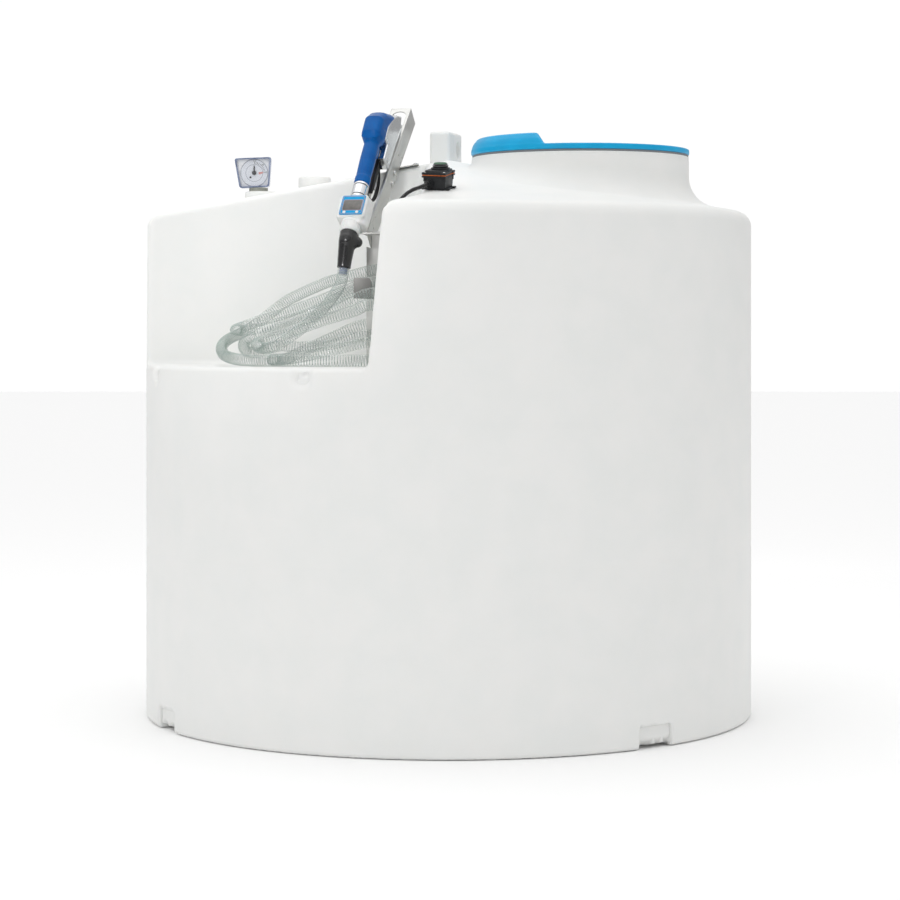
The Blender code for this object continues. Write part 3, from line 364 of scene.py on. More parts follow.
# %% Hose route
BAY_DRAFT = math.tan(math.radians(4.8))
HOSE_DIAMETER = 0.026
OUTLET = Vector((-0.0758, -0.3100, 0.9730))
OUTLET_LENGTH = 0.064
INTO_BAY = Vector((-1, 0, BAY_DRAFT)).normalized()
BOOT_ROUTE = [Vector(p) for p in ((-0.2256, -0.3046, 1.0690), (-0.2288, -0.3072, 1.0460),
                                  (-0.2318, -0.3115, 1.0205))]
HOSE_ROUTE = (
    # Down from the nozzle to the first turn at the front left
    (-0.239, -0.337, 0.982), (-0.266, -0.386, 0.939), (-0.313, -0.430, 0.892),
    (-0.361, -0.465, 0.856), (-0.387, -0.460, 0.846), (-0.408, -0.438, 0.846), (-0.417, -0.408, 0.851),
    (-0.413, -0.380, 0.857), (-0.394, -0.362, 0.864),
    # Back to the right, and down beside the side wall
    (-0.358, -0.354, 0.875), (-0.282, -0.360, 0.903), (-0.206, -0.374, 0.926), (-0.178, -0.384, 0.938),
    (-0.142, -0.402, 0.933), (-0.118, -0.430, 0.907), (-0.113, -0.465, 0.868), (-0.127, -0.494, 0.834),
    # Along the ledge to the turn furthest left
    (-0.160, -0.509, 0.820), (-0.218, -0.512, 0.8185), (-0.317, -0.502, 0.8185), (-0.386, -0.486, 0.8185),
    (-0.424, -0.468, 0.8185), (-0.457, -0.440, 0.821), (-0.485, -0.395, 0.828), (-0.499, -0.335, 0.840),
    (-0.502, -0.272, 0.852), (-0.495, -0.210, 0.863), (-0.480, -0.156, 0.873),
    # Up behind the others and over the hook
    (-0.456, -0.122, 0.887), (-0.425, -0.112, 0.909), (-0.392, -0.120, 0.934), (-0.356, -0.142, 0.957),
    (-0.278, -0.193, 0.990), (-0.240, -0.218, 1.000), (-0.180, -0.243, 1.015), (-0.147, -0.242, 1.019),
    # Round the leg and back to the left
    (-0.121, -0.235, 1.005), (-0.107, -0.217, 0.978), (-0.106, -0.194, 0.944), (-0.123, -0.175, 0.914),
    (-0.150, -0.167, 0.900), (-0.199, -0.168, 0.895), (-0.266, -0.184, 0.866), (-0.339, -0.214, 0.831),
    # A turn on the ledge under the others
    (-0.366, -0.238, 0.819), (-0.385, -0.268, 0.8187), (-0.390, -0.312, 0.8187), (-0.379, -0.358, 0.8187),
    (-0.354, -0.395, 0.821), (-0.322, -0.413, 0.826), (-0.259, -0.424, 0.839), (-0.190, -0.424, 0.855),
    # Up beside the side wall and to the left again
    (-0.146, -0.419, 0.863), (-0.120, -0.406, 0.884), (-0.111, -0.386, 0.917), (-0.122, -0.364, 0.947),
    (-0.148, -0.353, 0.963), (-0.181, -0.351, 0.962), (-0.207, -0.350, 0.951), (-0.245, -0.339, 0.938),
    (-0.309, -0.328, 0.911), (-0.349, -0.325, 0.894), (-0.420, -0.328, 0.874),
    # A steep turn, then to the right above the turn on the ledge
    (-0.442, -0.318, 0.865), (-0.454, -0.292, 0.852), (-0.452, -0.260, 0.839), (-0.435, -0.240, 0.833),
    (-0.409, -0.236, 0.841), (-0.377, -0.240, 0.849), (-0.337, -0.246, 0.846), (-0.292, -0.252, 0.848),
    (-0.247, -0.256, 0.856), (-0.211, -0.258, 0.867),
    # Up beside the side wall and over the hook to the left
    (-0.136, -0.257, 0.881), (-0.112, -0.257, 0.906), (-0.107, -0.258, 0.938), (-0.122, -0.261, 0.968),
    (-0.152, -0.264, 0.988), (-0.189, -0.265, 0.987), (-0.220, -0.261, 0.976), (-0.288, -0.236, 0.950),
    (-0.368, -0.202, 0.922), (-0.436, -0.179, 0.902),
    # The last turn, and over the hook to the outlet
    (-0.459, -0.184, 0.893), (-0.474, -0.204, 0.887), (-0.477, -0.234, 0.884), (-0.468, -0.264, 0.883),
    (-0.447, -0.283, 0.884), (-0.392, -0.290, 0.894), (-0.311, -0.286, 0.922), (-0.241, -0.296, 0.957),
    (-0.200, -0.305, 0.975))

down = (BOOT_ROUTE[-1] - BOOT_ROUTE[-2]).normalized()
hose_start = BOOT_ROUTE[-1] + down * 0.0006
hose_end = OUTLET + INTO_BAY * (OUTLET_LENGTH + 0.0003)
hose_path = [hose_start, *catmull([hose_start + down * 0.014, *[Vector(p) for p in HOSE_ROUTE],
                                   hose_end + INTO_BAY * 0.022], 520), hose_end]
hose = piece("hose_wall", sweep(hose_path, HOSE_DIAMETER / 2, 20), hose_clear,
             stands_for=["delivery_hose"], smooth=80)

# %% [markdown]
# ## The spiral in the hose's wall
# The stiffening spiral is a helix of thin cord, 6 mm from turn to turn: over seven hundred turns.
# Geometry Nodes carry a small ring of points along the hose's centre line: the curve is resampled, its
# normals are free of twist, and each point is pushed out sideways by an angle that grows with the
# length. One tree with its radius, pitch and thickness as inputs makes the whole spiral.

# %% Spiral by Geometry Nodes


def tree_with(name, inputs):
    """A Geometry Nodes tree with a geometry in and out and named number inputs."""
    made = bpy.data.node_groups.new(name, "GeometryNodeTree")
    made.interface.new_socket("Geometry", in_out="INPUT", socket_type="NodeSocketGeometry")
    for label, value in inputs.items():
        kind = "NodeSocketInt" if isinstance(value, int) else "NodeSocketFloat"
        made.interface.new_socket(label, in_out="INPUT", socket_type=kind).default_value = value
    made.interface.new_socket("Finish", in_out="INPUT", socket_type="NodeSocketMaterial")
    made.interface.new_socket("Geometry", in_out="OUTPUT", socket_type="NodeSocketGeometry")
    return made, made.nodes.new("NodeGroupInput"), made.nodes.new("NodeGroupOutput")


def dressed(tree, source, given, result):
    """A tree's end: real meshes in place of instances, and the finish set."""
    real = add(tree, "GeometryNodeRealizeInstances", Geometry=source.outputs[0])
    done = add(tree, "GeometryNodeSetMaterial", Geometry=real.outputs[0], Material=given.outputs["Finish"])
    tree.links.new(done.outputs[0], result.inputs[0])
    return tree


def evaluated(made, *helpers):
    """The plain mesh of an object with its modifiers. The object and its helpers are then removed."""
    graph = bpy.context.evaluated_depsgraph_get()
    mesh = bpy.data.meshes.new_from_object(made.evaluated_get(graph))
    for extra in (made, *helpers):
        bpy.data.objects.remove(extra)
    return mesh


def baked(carrier, tree, values):
    """The plain mesh that a tree makes of a carrier object."""
    change = carrier.modifiers.new(tree.name, "NODES")
    change.node_group = tree
    names = {s.name: s.identifier for s in tree.interface.items_tree if s.in_out == "INPUT"}
    for label, value in values.items():
        change[names[label]] = value
    return evaluated(carrier)


def spiral_tree():
    """A tree that winds a thin cord round a curve."""
    tree, given, result = tree_with("spiral_round_a_curve", {"Radius": 0.01, "Pitch": 0.005,
                                                            "Thickness": 0.001, "Steps": 12, "Sides": 4})
    inputs = given.outputs
    step = add(tree, "ShaderNodeMath", {"operation": "DIVIDE"}, n0=inputs["Pitch"], n1=inputs["Steps"])
    fine = add(tree, "GeometryNodeResampleCurve", {"mode": "LENGTH"}, Curve=inputs["Geometry"],
               Length=step.outputs[0])
    along = add(tree, "GeometryNodeSplineParameter").outputs["Length"]
    turns = add(tree, "ShaderNodeMath", {"operation": "DIVIDE"}, n0=along, n1=inputs["Pitch"])
    angle = add(tree, "ShaderNodeMath", {"operation": "MULTIPLY", 1: 2 * math.pi}, n0=turns.outputs[0])
    turned = add(tree, "ShaderNodeVectorRotate", {"rotation_type": "AXIS_ANGLE"},
                 Vector=add(tree, "GeometryNodeInputNormal").outputs[0],
                 Axis=add(tree, "GeometryNodeInputTangent").outputs[0], Angle=angle.outputs[0])
    push = add(tree, "ShaderNodeVectorMath", {"operation": "SCALE"}, n0=turned.outputs[0],
               Scale=inputs["Radius"])
    # The push is stored before the points move, because the normal changes once they have
    kept = add(tree, "GeometryNodeStoreNamedAttribute", {"data_type": "FLOAT_VECTOR", "domain": "POINT",
                                                        "Name": "push"}, Geometry=fine.outputs[0])
    tree.links.new(push.outputs[0], next(s for s in kept.inputs if s.name == "Value" and s.enabled))
    read = add(tree, "GeometryNodeInputNamedAttribute", {"data_type": "FLOAT_VECTOR", "Name": "push"})
    moved = add(tree, "GeometryNodeSetPosition", Geometry=kept.outputs[0], Offset=read.outputs[0])
    ring = add(tree, "GeometryNodeCurvePrimitiveCircle", {"mode": "RADIUS"}, Resolution=inputs["Sides"],
               Radius=inputs["Thickness"])
    mesh = add(tree, "GeometryNodeCurveToMesh", {"Fill Caps": True}, Curve=moved.outputs[0],
               Profile_Curve=ring.outputs[0])
    return dressed(tree, mesh, given, result)


def line_object(name, points):
    """A curve object through points, its twist the least there is."""
    curve = bpy.data.curves.new(name, "CURVE")
    curve.dimensions = "3D"
    curve.twist_mode = "MINIMUM"
    spline = curve.splines.new("POLY")
    spline.points.add(len(points) - 1)
    for point, place in zip(spline.points, points):
        point.co = (*place, 1)
    return linked(name, curve)


SPIRAL = spiral_tree()
wire = baked(line_object("hose_line", hose_path), SPIRAL,
             {"Radius": 0.0118, "Pitch": 0.0060, "Thickness": 0.00048, "Steps": 12, "Sides": 4,
              "Finish": hose_wire})
spiral = piece("hose_spiral", wire, hose_wire, smooth=80)
# The barbed tail that the hose is pushed over, seen through its first centimetre
BARB_RINGS = 19
barbs = [0.0086 + 0.0012 * (i % 5) / 5 for i in range(BARB_RINGS)]
tail = piece("hose_tail", sweep(catmull(hose_path[:2], BARB_RINGS), barbs, 24), acrylic_edge,
             smooth=40)
print("spiral", len(wire.polygons), "faces")

# %% [markdown]
# ## The switch's cable
# A thin black cable leaves the gland on the switch box, runs over the tank's shoulder and down into
# the bay, where a grommet takes it through the side wall. A ribbed sleeve over its first centimetres
# keeps it from kinking, and is a helix again, from the same tree.

# %% Cable
APEX_Z = 1.280
ROOF_FALL = 0.187
ROOF_TILT = math.atan(ROOF_FALL)


def roof_height(x, y):
    """The height of the cone roof above a place."""
    return APEX_Z - ROOF_FALL * math.hypot(x, y)


def on_slope(x, y, yaw):
    """A frame on the roof, tilted with it and turned about its own upright."""
    downhill = math.atan2(y, x)
    tilt = Matrix.Rotation(downhill, 4, "Z") @ Matrix.Rotation(ROOF_TILT, 4, "Y") \
        @ Matrix.Rotation(-downhill, 4, "Z")
    turned = Matrix.Rotation(math.radians(yaw), 4, "Z")
    return Matrix.Translation((x, y, roof_height(x, y))) @ tilt @ turned


SWITCH = on_slope(-0.0216, -0.515, -19)
cable_start = SWITCH @ Vector((-0.012, -0.0423, 0.015))
OVER_EDGE = ((-0.0610, -0.5850, 1.1830), (-0.0770, -0.5985, 1.1762), (-0.0945, -0.6060, 1.1630),
             (-0.1090, -0.6060, 1.1430), (-0.1155, -0.6005, 1.1190), (-0.1120, -0.5895, 1.0985),
             (-0.1010, -0.5775, 1.0850), (-0.0865, -0.5712, 1.0804), (-0.0759, -0.5700, 1.0800))
cable_path = catmull([cable_start, SWITCH @ Vector((-0.012, -0.0560, 0.014)),
                      *[Vector(p) for p in OVER_EDGE]], 60)
CABLE_DIAMETER = 0.007
cable = piece("switch_lead", sweep(cable_path, CABLE_DIAMETER / 2, 14), rubber,
              stands_for=["switch_cable"], smooth=80)
ribs = baked(line_object("sleeve_line", cable_path[:34]), SPIRAL,
             {"Radius": 0.0034, "Pitch": 0.0022, "Thickness": 0.0009, "Steps": 12, "Sides": 5,
              "Finish": rubber})
sleeve = piece("switch_lead_sleeve", ribs, rubber, smooth=80)

# %% [markdown]
# ## Shapes from distances
# A rotomoulded tank has no sharp edge anywhere: walls, roof, bay and neck run into each other in soft
# rounds, because molten powder fills every corner of the mould. Booleans and bevels make such rounds
# badly on curved walls. So the tank is described instead by a distance: for any point, how far it lies
# outside the plastic. Two distances join into one with a true round between them, and a grid of points
# shows where the distance is zero. That is the skin. Each corner of the skin's mesh is then moved
# onto the exact surface, and takes its normal from there.

# %% Rounded joins of two distances


def round_and(a, b, radius):
    """Inside both forms, with the edge between them rounded off."""
    corner = np.hypot(np.maximum(a + radius, 0), np.maximum(b + radius, 0))
    return np.minimum(-radius, np.maximum(a, b)) + corner


def round_or(a, b, radius):
    """Inside either form, with a fillet in the corner between them."""
    corner = np.hypot(np.maximum(radius - a, 0), np.maximum(radius - b, 0))
    return np.maximum(radius, np.minimum(a, b)) - corner


def polygon_distance(x, y, corners):
    """Distance to a flat outline, negative inside it."""
    best = np.full(x.shape, 1e9)
    inside = np.zeros(x.shape, bool)
    for (ax, ay), (bx, by) in zip(corners, corners[1:] + corners[:1]):
        ex, ey = bx - ax, by - ay
        t = np.clip(((x - ax) * ex + (y - ay) * ey) / (ex * ex + ey * ey), 0, 1)
        best = np.minimum(best, np.hypot(x - ax - ex * t, y - ay - ey * t))
        inside ^= ((ay > y) != (by > y)) & (x < ex * (y - ay) / (ey if ey else 1e-12) + ax)
    return np.where(inside, -best, best)


def slab(flat, depth, radius):
    """A flat distance given thickness, all its edges rounded. Depth is measured from the faces."""
    a, b = flat + radius, depth + radius
    return np.minimum(np.maximum(a, b), 0) + np.hypot(np.maximum(a, 0), np.maximum(b, 0)) - radius


def box_distance(x, y, z, half, radius):
    """Distance to a box of half sizes whose edges are rounded."""
    a, b, c = (np.abs(v) - h + radius for v, h in zip((x, y, z), half))
    far = np.sqrt(np.maximum(a, 0) ** 2 + np.maximum(b, 0) ** 2 + np.maximum(c, 0) ** 2)
    return far + np.minimum(np.maximum(a, np.maximum(b, c)), 0) - radius


# %% The skin of a distance


def gradient(form, points, step):
    """The way in which a distance grows, at each point."""
    parts = []
    for axis in range(3):
        shift = np.zeros(3)
        shift[axis] = step
        parts.append(form(points + shift) - form(points - shift))
    return np.stack(parts, axis=-1) / (2 * step)


def skin_of(form, low, high, cell, relax=2):
    """Corners, four-sided faces and normals of the surface where a distance is zero."""
    low, high = np.array(low, float), np.array(high, float)
    counts = np.ceil((high - low) / cell - 1e-6).astype(int) + 1
    axes = [low[i] + cell * np.arange(counts[i]) for i in range(3)]
    inside = np.empty(tuple(counts), bool)
    flat = np.stack(np.meshgrid(axes[1], axes[2], indexing="ij"), axis=-1)
    for i, x in enumerate(axes[0]):
        sheet = np.concatenate([np.full(flat.shape[:2] + (1,), x), flat], axis=-1)
        inside[i] = form(sheet) < 0
    n = counts - 1
    total = sum(inside[i:i + n[0], j:j + n[1], k:k + n[2]].astype(np.int8)
                for i in (0, 1) for j in (0, 1) for k in (0, 1))
    mixed = (total > 0) & (total < 8)
    number = np.full(mixed.shape, -1)
    number[mixed] = np.arange(mixed.sum())
    points = low + cell * (np.argwhere(mixed) + 0.5)
    faces = []
    for axis in range(3):
        u, v = (axis + 1) % 3, (axis + 2) % 3
        first, second = [slice(None)] * 3, [slice(None)] * 3
        first[axis], second[axis] = slice(0, -1), slice(1, None)
        first[u] = second[u] = first[v] = second[v] = slice(1, -1)
        where = np.argwhere(inside[tuple(first)] != inside[tuple(second)])
        where[:, u] += 1
        where[:, v] += 1
        one = np.eye(3, dtype=int)
        ring = [where - one[u] - one[v], where - one[v], where, where - one[u]]
        quads = np.stack([number[tuple(r.T)] for r in ring], axis=1)
        outward = inside[tuple(where.T)]
        faces.append(np.where(outward[:, None], quads, quads[:, ::-1]))
    faces = np.concatenate(faces)

    def settle(rounds):
        nonlocal points
        for _ in range(rounds):
            slope = gradient(form, points, cell * 0.02)
            move = form(points)[:, None] * slope / np.maximum((slope ** 2).sum(1), 0.05)[:, None]
            length = np.linalg.norm(move, axis=1)[:, None]
            points = points - move * np.minimum(1, 0.8 * cell / np.maximum(length, 1e-12))

    settle(4)
    ends = np.sort(np.concatenate([faces[:, [a, b]] for a, b in ((0, 1), (1, 2), (2, 3), (3, 0))]), axis=1)
    pairs, uses = np.unique(ends, axis=0, return_counts=True)
    rim = np.zeros(len(points), bool)
    rim[pairs[uses == 1].ravel()] = True
    for _ in range(relax):
        total, count = np.zeros_like(points), np.zeros(len(points))
        for a, b in ((0, 1), (1, 0)):
            np.add.at(total, pairs[:, a], points[pairs[:, b]])
            np.add.at(count, pairs[:, a], 1)
        middle = total / np.maximum(count, 1)[:, None]
        points = np.where(rim[:, None], points, 0.5 * (points + middle))
        settle(2)
    slope = gradient(form, points, cell * 0.02)
    return points, faces, slope / np.linalg.norm(slope, axis=1)[:, None]


def joined(*skins):
    """Several skins as one mesh with exact normals. A skin marked -1 faces the other way."""
    points, faces, normals, used = [], [], [], 0
    for (p, f, n), way in skins:
        points.append(np.maximum(p, (-9, -9, 0)))
        faces.append((f if way > 0 else f[:, ::-1]) + used)
        normals.append(n * way)
        used += len(p)
    mesh = bpy.data.meshes.new("skin")
    mesh.from_pydata(np.concatenate(points), [], np.concatenate(faces).tolist())
    mesh.shade_smooth()
    mesh.normals_split_custom_set_from_vertices(np.concatenate(normals))
    return mesh


def without(skin, drop):
    """A skin less the faces whose middle meets a test."""
    points, faces, normals = skin
    return points, faces[~drop(points[faces].mean(axis=1))], normals


# %% [markdown]
# ## The tank
# The wall is a cylinder 1.40 m across, the roof a shallow cone, and 27 mm of round joins them. The
# bay is everything left of one wall, in front of another and above the ledge, each leaning 4.8 degrees
# so that the moulding comes off its mould. Drain scoops in the ledge's rim let spilt liquid run off,
# and four notches in the foot take tie-down feet. The wall is 8 mm thick, so the same distance less
# 8 mm gives the inside.

# %% Tank distances
TANK_RADIUS = 0.700
WALL = 0.008
SHOULDER_RADIUS = 0.027
LEDGE_Z = 0.805
PARTING_Z = 0.690
LEAN = math.cos(math.radians(4.8))
NECK = (0.300, -0.120)
NECK_RADIUS = 0.2475
NECK_TOP_Z = 1.276
BAY_TOP_Z = 1.160  # the height at which the bay's walls have the places that follow
BAY_BACK_Y = -0.030
BAY_SIDE_X = -0.060
BAY_CORNER = (-0.141, -0.6857)  # where the side wall turns out to the round wall
CORNER_WAY = (-0.7712, 0.6366)
SCOOP_ANGLES = (201, 244)
SCOOP_TOP_Z = 0.770
NOTCH_ANGLES = (27, 129, 207, 309)


def bay_form(x, y, z):
    """The space cut out for the hose."""
    out = BAY_DRAFT * (BAY_TOP_Z - z)
    back = (y - BAY_BACK_Y + out) * LEAN
    side = (x - BAY_SIDE_X + out) * LEAN
    front = (out - (x - BAY_CORNER[0]) * CORNER_WAY[0] - (y - BAY_CORNER[1]) * CORNER_WAY[1]) * LEAN
    form = round_and(round_and(back, side, 0.022), front, 0.030)
    return round_and(form, LEDGE_Z - z, 0.012)


def shell_form(p):
    """The tank without its neck and bosses, as the inside of the mould had it."""
    x, y, z = p[..., 0], p[..., 1], p[..., 2]
    radius = np.hypot(x, y)
    grooves = sum(0.0007 * np.exp(-((z - level) / 0.005) ** 2) for level in (0.393, PARTING_Z))
    roof = (z - APEX_Z + ROOF_FALL * radius) * math.cos(ROOF_TILT)
    form = round_and(radius - TANK_RADIUS + grooves, roof, SHOULDER_RADIUS)
    form = round_and(form, -z, 0.010)
    return round_and(form, -bay_form(x, y, z), 0.013)


def standing(x, y, centre, radius, top, z, edge):
    """An upright round boss."""
    return round_and(np.hypot(x - centre[0], y - centre[1]) - radius, z - top, edge)


LUG_AT = (-0.007, 0.130)
LUG_YAW = math.radians(-16)
LUG = Matrix.Translation((*LUG_AT, 0)) @ Matrix.Rotation(LUG_YAW, 4, "Z")
VENT = (-0.326, 0.250)
GAUGE = (-0.449, 0.200)


def tank_form(p):
    """The whole outside, with neck, bosses, scoops and notches."""
    x, y, z = p[..., 0], p[..., 1], p[..., 2]
    form = shell_form(p)
    room = NECK_TOP_Z - 0.004 - (APEX_Z - ROOF_FALL * np.hypot(x, y))
    flare = np.clip(0.8 * room, 0.004, 0.055)
    form = round_or(form, standing(x, y, NECK, NECK_RADIUS, NECK_TOP_Z - 0.002, z, 0.003), flare)
    c, s = math.cos(LUG_YAW), math.sin(LUG_YAW)
    u = c * (x - LUG_AT[0]) + s * (y - LUG_AT[1])
    v = c * (y - LUG_AT[1]) - s * (x - LUG_AT[0])
    lug = slab(slab(np.abs(u) - 0.0245, np.abs(v) - 0.0555, 0.006), z - 1.290, 0.004)
    form = round_or(form, lug, 0.012)
    form = round_or(form, standing(x, y, VENT, 0.0385, 1.222, z, 0.004), 0.010)
    form = round_or(form, standing(x, y, GAUGE, 0.0405, 1.210, z, 0.004), 0.010)
    for t in map(math.radians, SCOOP_ANGLES):
        scoop = np.hypot(x - 0.702 * math.cos(t), y - 0.702 * math.sin(t)) - 0.018
        form = round_and(form, -round_and(scoop, SCOOP_TOP_Z - z, 0.016), 0.015)
    for t in map(math.radians, NOTCH_ANGLES):
        along, across = x * math.cos(t) + y * math.sin(t), -x * math.sin(t) + y * math.cos(t)
        notch = round_and(round_and(0.655 - along, np.abs(across) - 0.045, 0.006), z - 0.047, 0.006)
        form = round_and(form, -notch, 0.005)
    return form


# %% [markdown]
# The tank is too large for one mesh of fine faces, so it is made in two, which meet at the faint
# parting line round the wall at 0.69 m, where the real mould has its joint. Grid rows are placed so
# that both end on exactly that height. Inside the neck the skin is open.

# %% Tank meshes
CELL = 0.008
INNER_CELL = 0.018


def in_neck(radius):
    """A test for faces inside the neck, above the wall's thickness."""
    return lambda p: (np.hypot(p[:, 0] - NECK[0], p[:, 1] - NECK[1]) < radius) & (p[:, 2] > 1.05)


def cavity_form(p):
    """The inside of the wall."""
    return shell_form(p) + WALL


def tank_skin(form, reach, cell, rows_below, top):
    """A skin whose grid has a row of cells centred on the parting line."""
    low = PARTING_Z - cell / 2 if top else PARTING_Z + cell / 2 - rows_below * cell
    return skin_of(form, (-reach, -reach, low), (reach, reach, top or PARTING_Z + cell / 2), cell)


upper = joined((without(tank_skin(tank_form, 0.715, CELL, 0, 1.31), in_neck(0.2435)), 1),
               (without(tank_skin(cavity_form, 0.72, INNER_CELL, 0, 1.30), in_neck(0.252)), -1))
lower = joined((tank_skin(tank_form, 0.715, CELL, 88, None), 1),
               (tank_skin(cavity_form, 0.72, INNER_CELL, 39, None), -1))
piece("tank_upper", upper, white, smooth=None,
      stands_for=["roof", "bay_ledge", "bay_back_wall", "bay_side_wall"])
piece("tank_lower", lower, white, smooth=None,
      stands_for=["floor", *[f"wall_segment_{i}" for i in range(1, 9)]])
print("tank faces", len(upper.polygons), len(lower.polygons))

# %% [markdown]
# ## The neck's rim and the lid
# The rim that the lid closes on is a crisp ring, machined after moulding, so it is turned here as a
# profile instead of being left to the soft skin. Its lower edge follows the underside of the roof, so
# that an open lid shows a clean hole with the roof's real thickness. The lid is a flat disc with a
# raised part over its left, whose wall is flush with the rim and slants in towards a level top. It is
# described by distances again, because every edge on it is a moulded round. The hinge is at the back.

# %% Turning


def lathe(profile, where=None, sides=72, closed=False):
    """A profile of (radius, height) turned about Z. Points at radius 0 become one pole."""
    form = bmesh.new()
    turns = [2 * math.pi * k / sides for k in range(sides)]
    rings = [[form.verts.new((radius * math.cos(t), radius * math.sin(t), z))
              for t in (turns if radius > 1e-6 else turns[:1])] for radius, z in profile]
    for low, high in zip(rings, rings[1:] + (rings[:1] if closed else [])):
        for k in range(sides):
            j = (k + 1) % sides
            corners = [low[k % len(low)], low[j % len(low)], high[j % len(high)], high[k % len(high)]]
            corners = list(dict.fromkeys(corners))
            if len(corners) > 2:
                form.faces.new(corners)
    bmesh.ops.recalc_face_normals(form, faces=form.faces)
    if where:
        bmesh.ops.transform(form, matrix=where, verts=form.verts)
    return form


# Radius and height of each corner. A height under 0.1 is measured up from the roof's underside
RIM = ((0.2470, 1.255), (0.2470, 1.2748), (0.2462, 1.2760), (0.2385, 1.2760), (0.2375, 1.2750), (0.2375, 0),
       (0.2385, 0), (0.2600, 0), (0.2600, 0.003), (0.2470, 0.003))
RIM_SIDES = 180


def rim():
    """The crisp ring round the manhole, down to the roof's underside."""
    form = bmesh.new()
    columns = []
    for t in (2 * math.pi * k / RIM_SIDES for k in range(RIM_SIDES)):
        column = []
        for radius, z in RIM:
            x, y = NECK[0] + radius * math.cos(t), NECK[1] + radius * math.sin(t)
            under = roof_height(x, y) - WALL / math.cos(ROOF_TILT) - 0.0012
            column.append(form.verts.new((x, y, z if z > 0.1 else under + z)))
        columns.append(column)
    for here, there in zip(columns, columns[1:] + columns[:1]):
        for a in range(len(here)):
            b = (a + 1) % len(here)
            form.faces.new((here[a], there[a], there[b], here[b]))
    bmesh.ops.recalc_face_normals(form, faces=form.faces)
    return form


piece("neck_rim", rim(), white, stands_for=["manhole_neck"], smooth=30)
seal_profile = [(0.2385, 1.2763), (0.2456, 1.2763), (0.2462, 1.2775), (0.2456, 1.2790), (0.2462, 1.2803),
                (0.2385, 1.2803)]
piece("lid_seal", lathe(seal_profile, Matrix.Translation((*NECK, 0)), 144, closed=True), seal,
      stands_for=["manhole_seal"], smooth=30)

# %% Lid
LID_Z = 1.2806
LID_TOP_Z = 1.2936
RAISED_TOP_Z = 1.3191


def lid_form(p):
    """A disc with a raised part over its left."""
    x, y, z = p[..., 0], p[..., 1], p[..., 2]
    across = np.hypot(x - NECK[0], y - NECK[1])
    depth = np.abs(z - (LID_Z + LID_TOP_Z) / 2) - (LID_TOP_Z - LID_Z) / 2
    disc = round_and(across - 0.248, depth, 0.003)
    # The raised part: a wall flush with the rim, a broad slant, a level top and a sloped right end
    slant = (across - 0.2475) * 0.774 + (z - 1.3020) * 0.633
    end = (x - 0.196 + (z - RAISED_TOP_Z) * 0.543) * 0.879
    hump = round_and(round_and(across - 0.2477, slant, 0.006), end, 0.010)
    hump = round_and(hump, z - RAISED_TOP_Z, 0.004)
    hump = np.maximum(hump, LID_Z + 0.005 - z)
    return round_or(disc, hump, 0.004)


lid_skin = skin_of(lid_form, (0.045, -0.375, 1.270), (0.555, 0.135, 1.345), 0.0034)
lid = piece("lid_moulding", joined((lid_skin, 1)), blue, body="lid", smooth=None,
            stands_for=["manhole_lid"])


def round_bar(start, end, radius, sides=24, bevel=0.0):
    """A round bar between two points, its ends rounded a little."""
    start, end = Vector(start), Vector(end)
    turn = (end - start).to_track_quat("Z", "Y").to_matrix().to_4x4()
    long = (end - start).length
    b = min(bevel or radius * 0.12, radius * 0.9, long * 0.4)
    profile = [(0, 0), (radius - b, 0), (radius - 0.3 * b, 0.3 * b), (radius, b), (radius, long - b),
               (radius - 0.3 * b, long - 0.3 * b), (radius - b, long), (0, long)]
    return lathe(profile, Matrix.Translation(start) @ turn, sides)


def soft_box(size, centre, where=None, bevel=0.002, segments=3):
    """A box with rounded edges."""
    form = bmesh.new()
    bmesh.ops.create_cube(form, size=1.0)
    bmesh.ops.scale(form, vec=size, verts=form.verts)
    bmesh.ops.bevel(form, geom=list(form.edges), offset=bevel, segments=segments, profile=0.5, affect="EDGES")
    bmesh.ops.transform(form, matrix=(where or Matrix()) @ Matrix.Translation(centre), verts=form.verts)
    return form


def together(*forms):
    """Several forms as one, each still a closed shell."""
    whole = forms[0]
    for form in forms[1:]:
        mesh = mesh_of(form)
        whole.from_mesh(mesh)
        bpy.data.meshes.remove(mesh)
    return whole


def in_frame(form, where):
    """A form moved from a piece's own frame into the object's."""
    bmesh.ops.transform(form, matrix=where, verts=form.verts)
    return form


# X points to the lid's centre, and Y lies along the pin
PIN_Z = 1.2870
HINGE = Matrix.Translation((0.300, 0.1395, PIN_Z)) @ Matrix.Rotation(-math.pi / 2, 4, "Z")
eye_and_arm = together(round_bar((0, -0.0185, 0), (0, 0.0185, 0), 0.0085),
                       soft_box((0.045, 0.037, 0.0055), (0.0225, 0, LID_Z + 0.0045 - PIN_Z), bevel=0.0015))
piece("lid_hinge_eye", in_frame(eye_and_arm, HINGE), blue, body="lid")
ears = [soft_box((0.024, 0.064, 0.026), (0.002, 0, -0.033), bevel=0.003)]
for way in (-1, 1):
    ears.append(soft_box((0.0178, 0.0118, 0.033), (0, way * 0.026, -0.0165), bevel=0.0015))
    ears.append(round_bar((0, way * 0.026 - 0.0059, 0), (0, way * 0.026 + 0.0059, 0), 0.009))
piece("lid_bracket", in_frame(together(*ears), HINGE), blue, stands_for=["lid_hinge_bracket"])
piece("lid_pin", in_frame(round_bar((0, -0.035, 0), (0, 0.035, 0), 0.004), HINGE), bolt_steel,
      stands_for=["lid_hinge_pin"])
print("lid faces", len(lid.data.polygons))
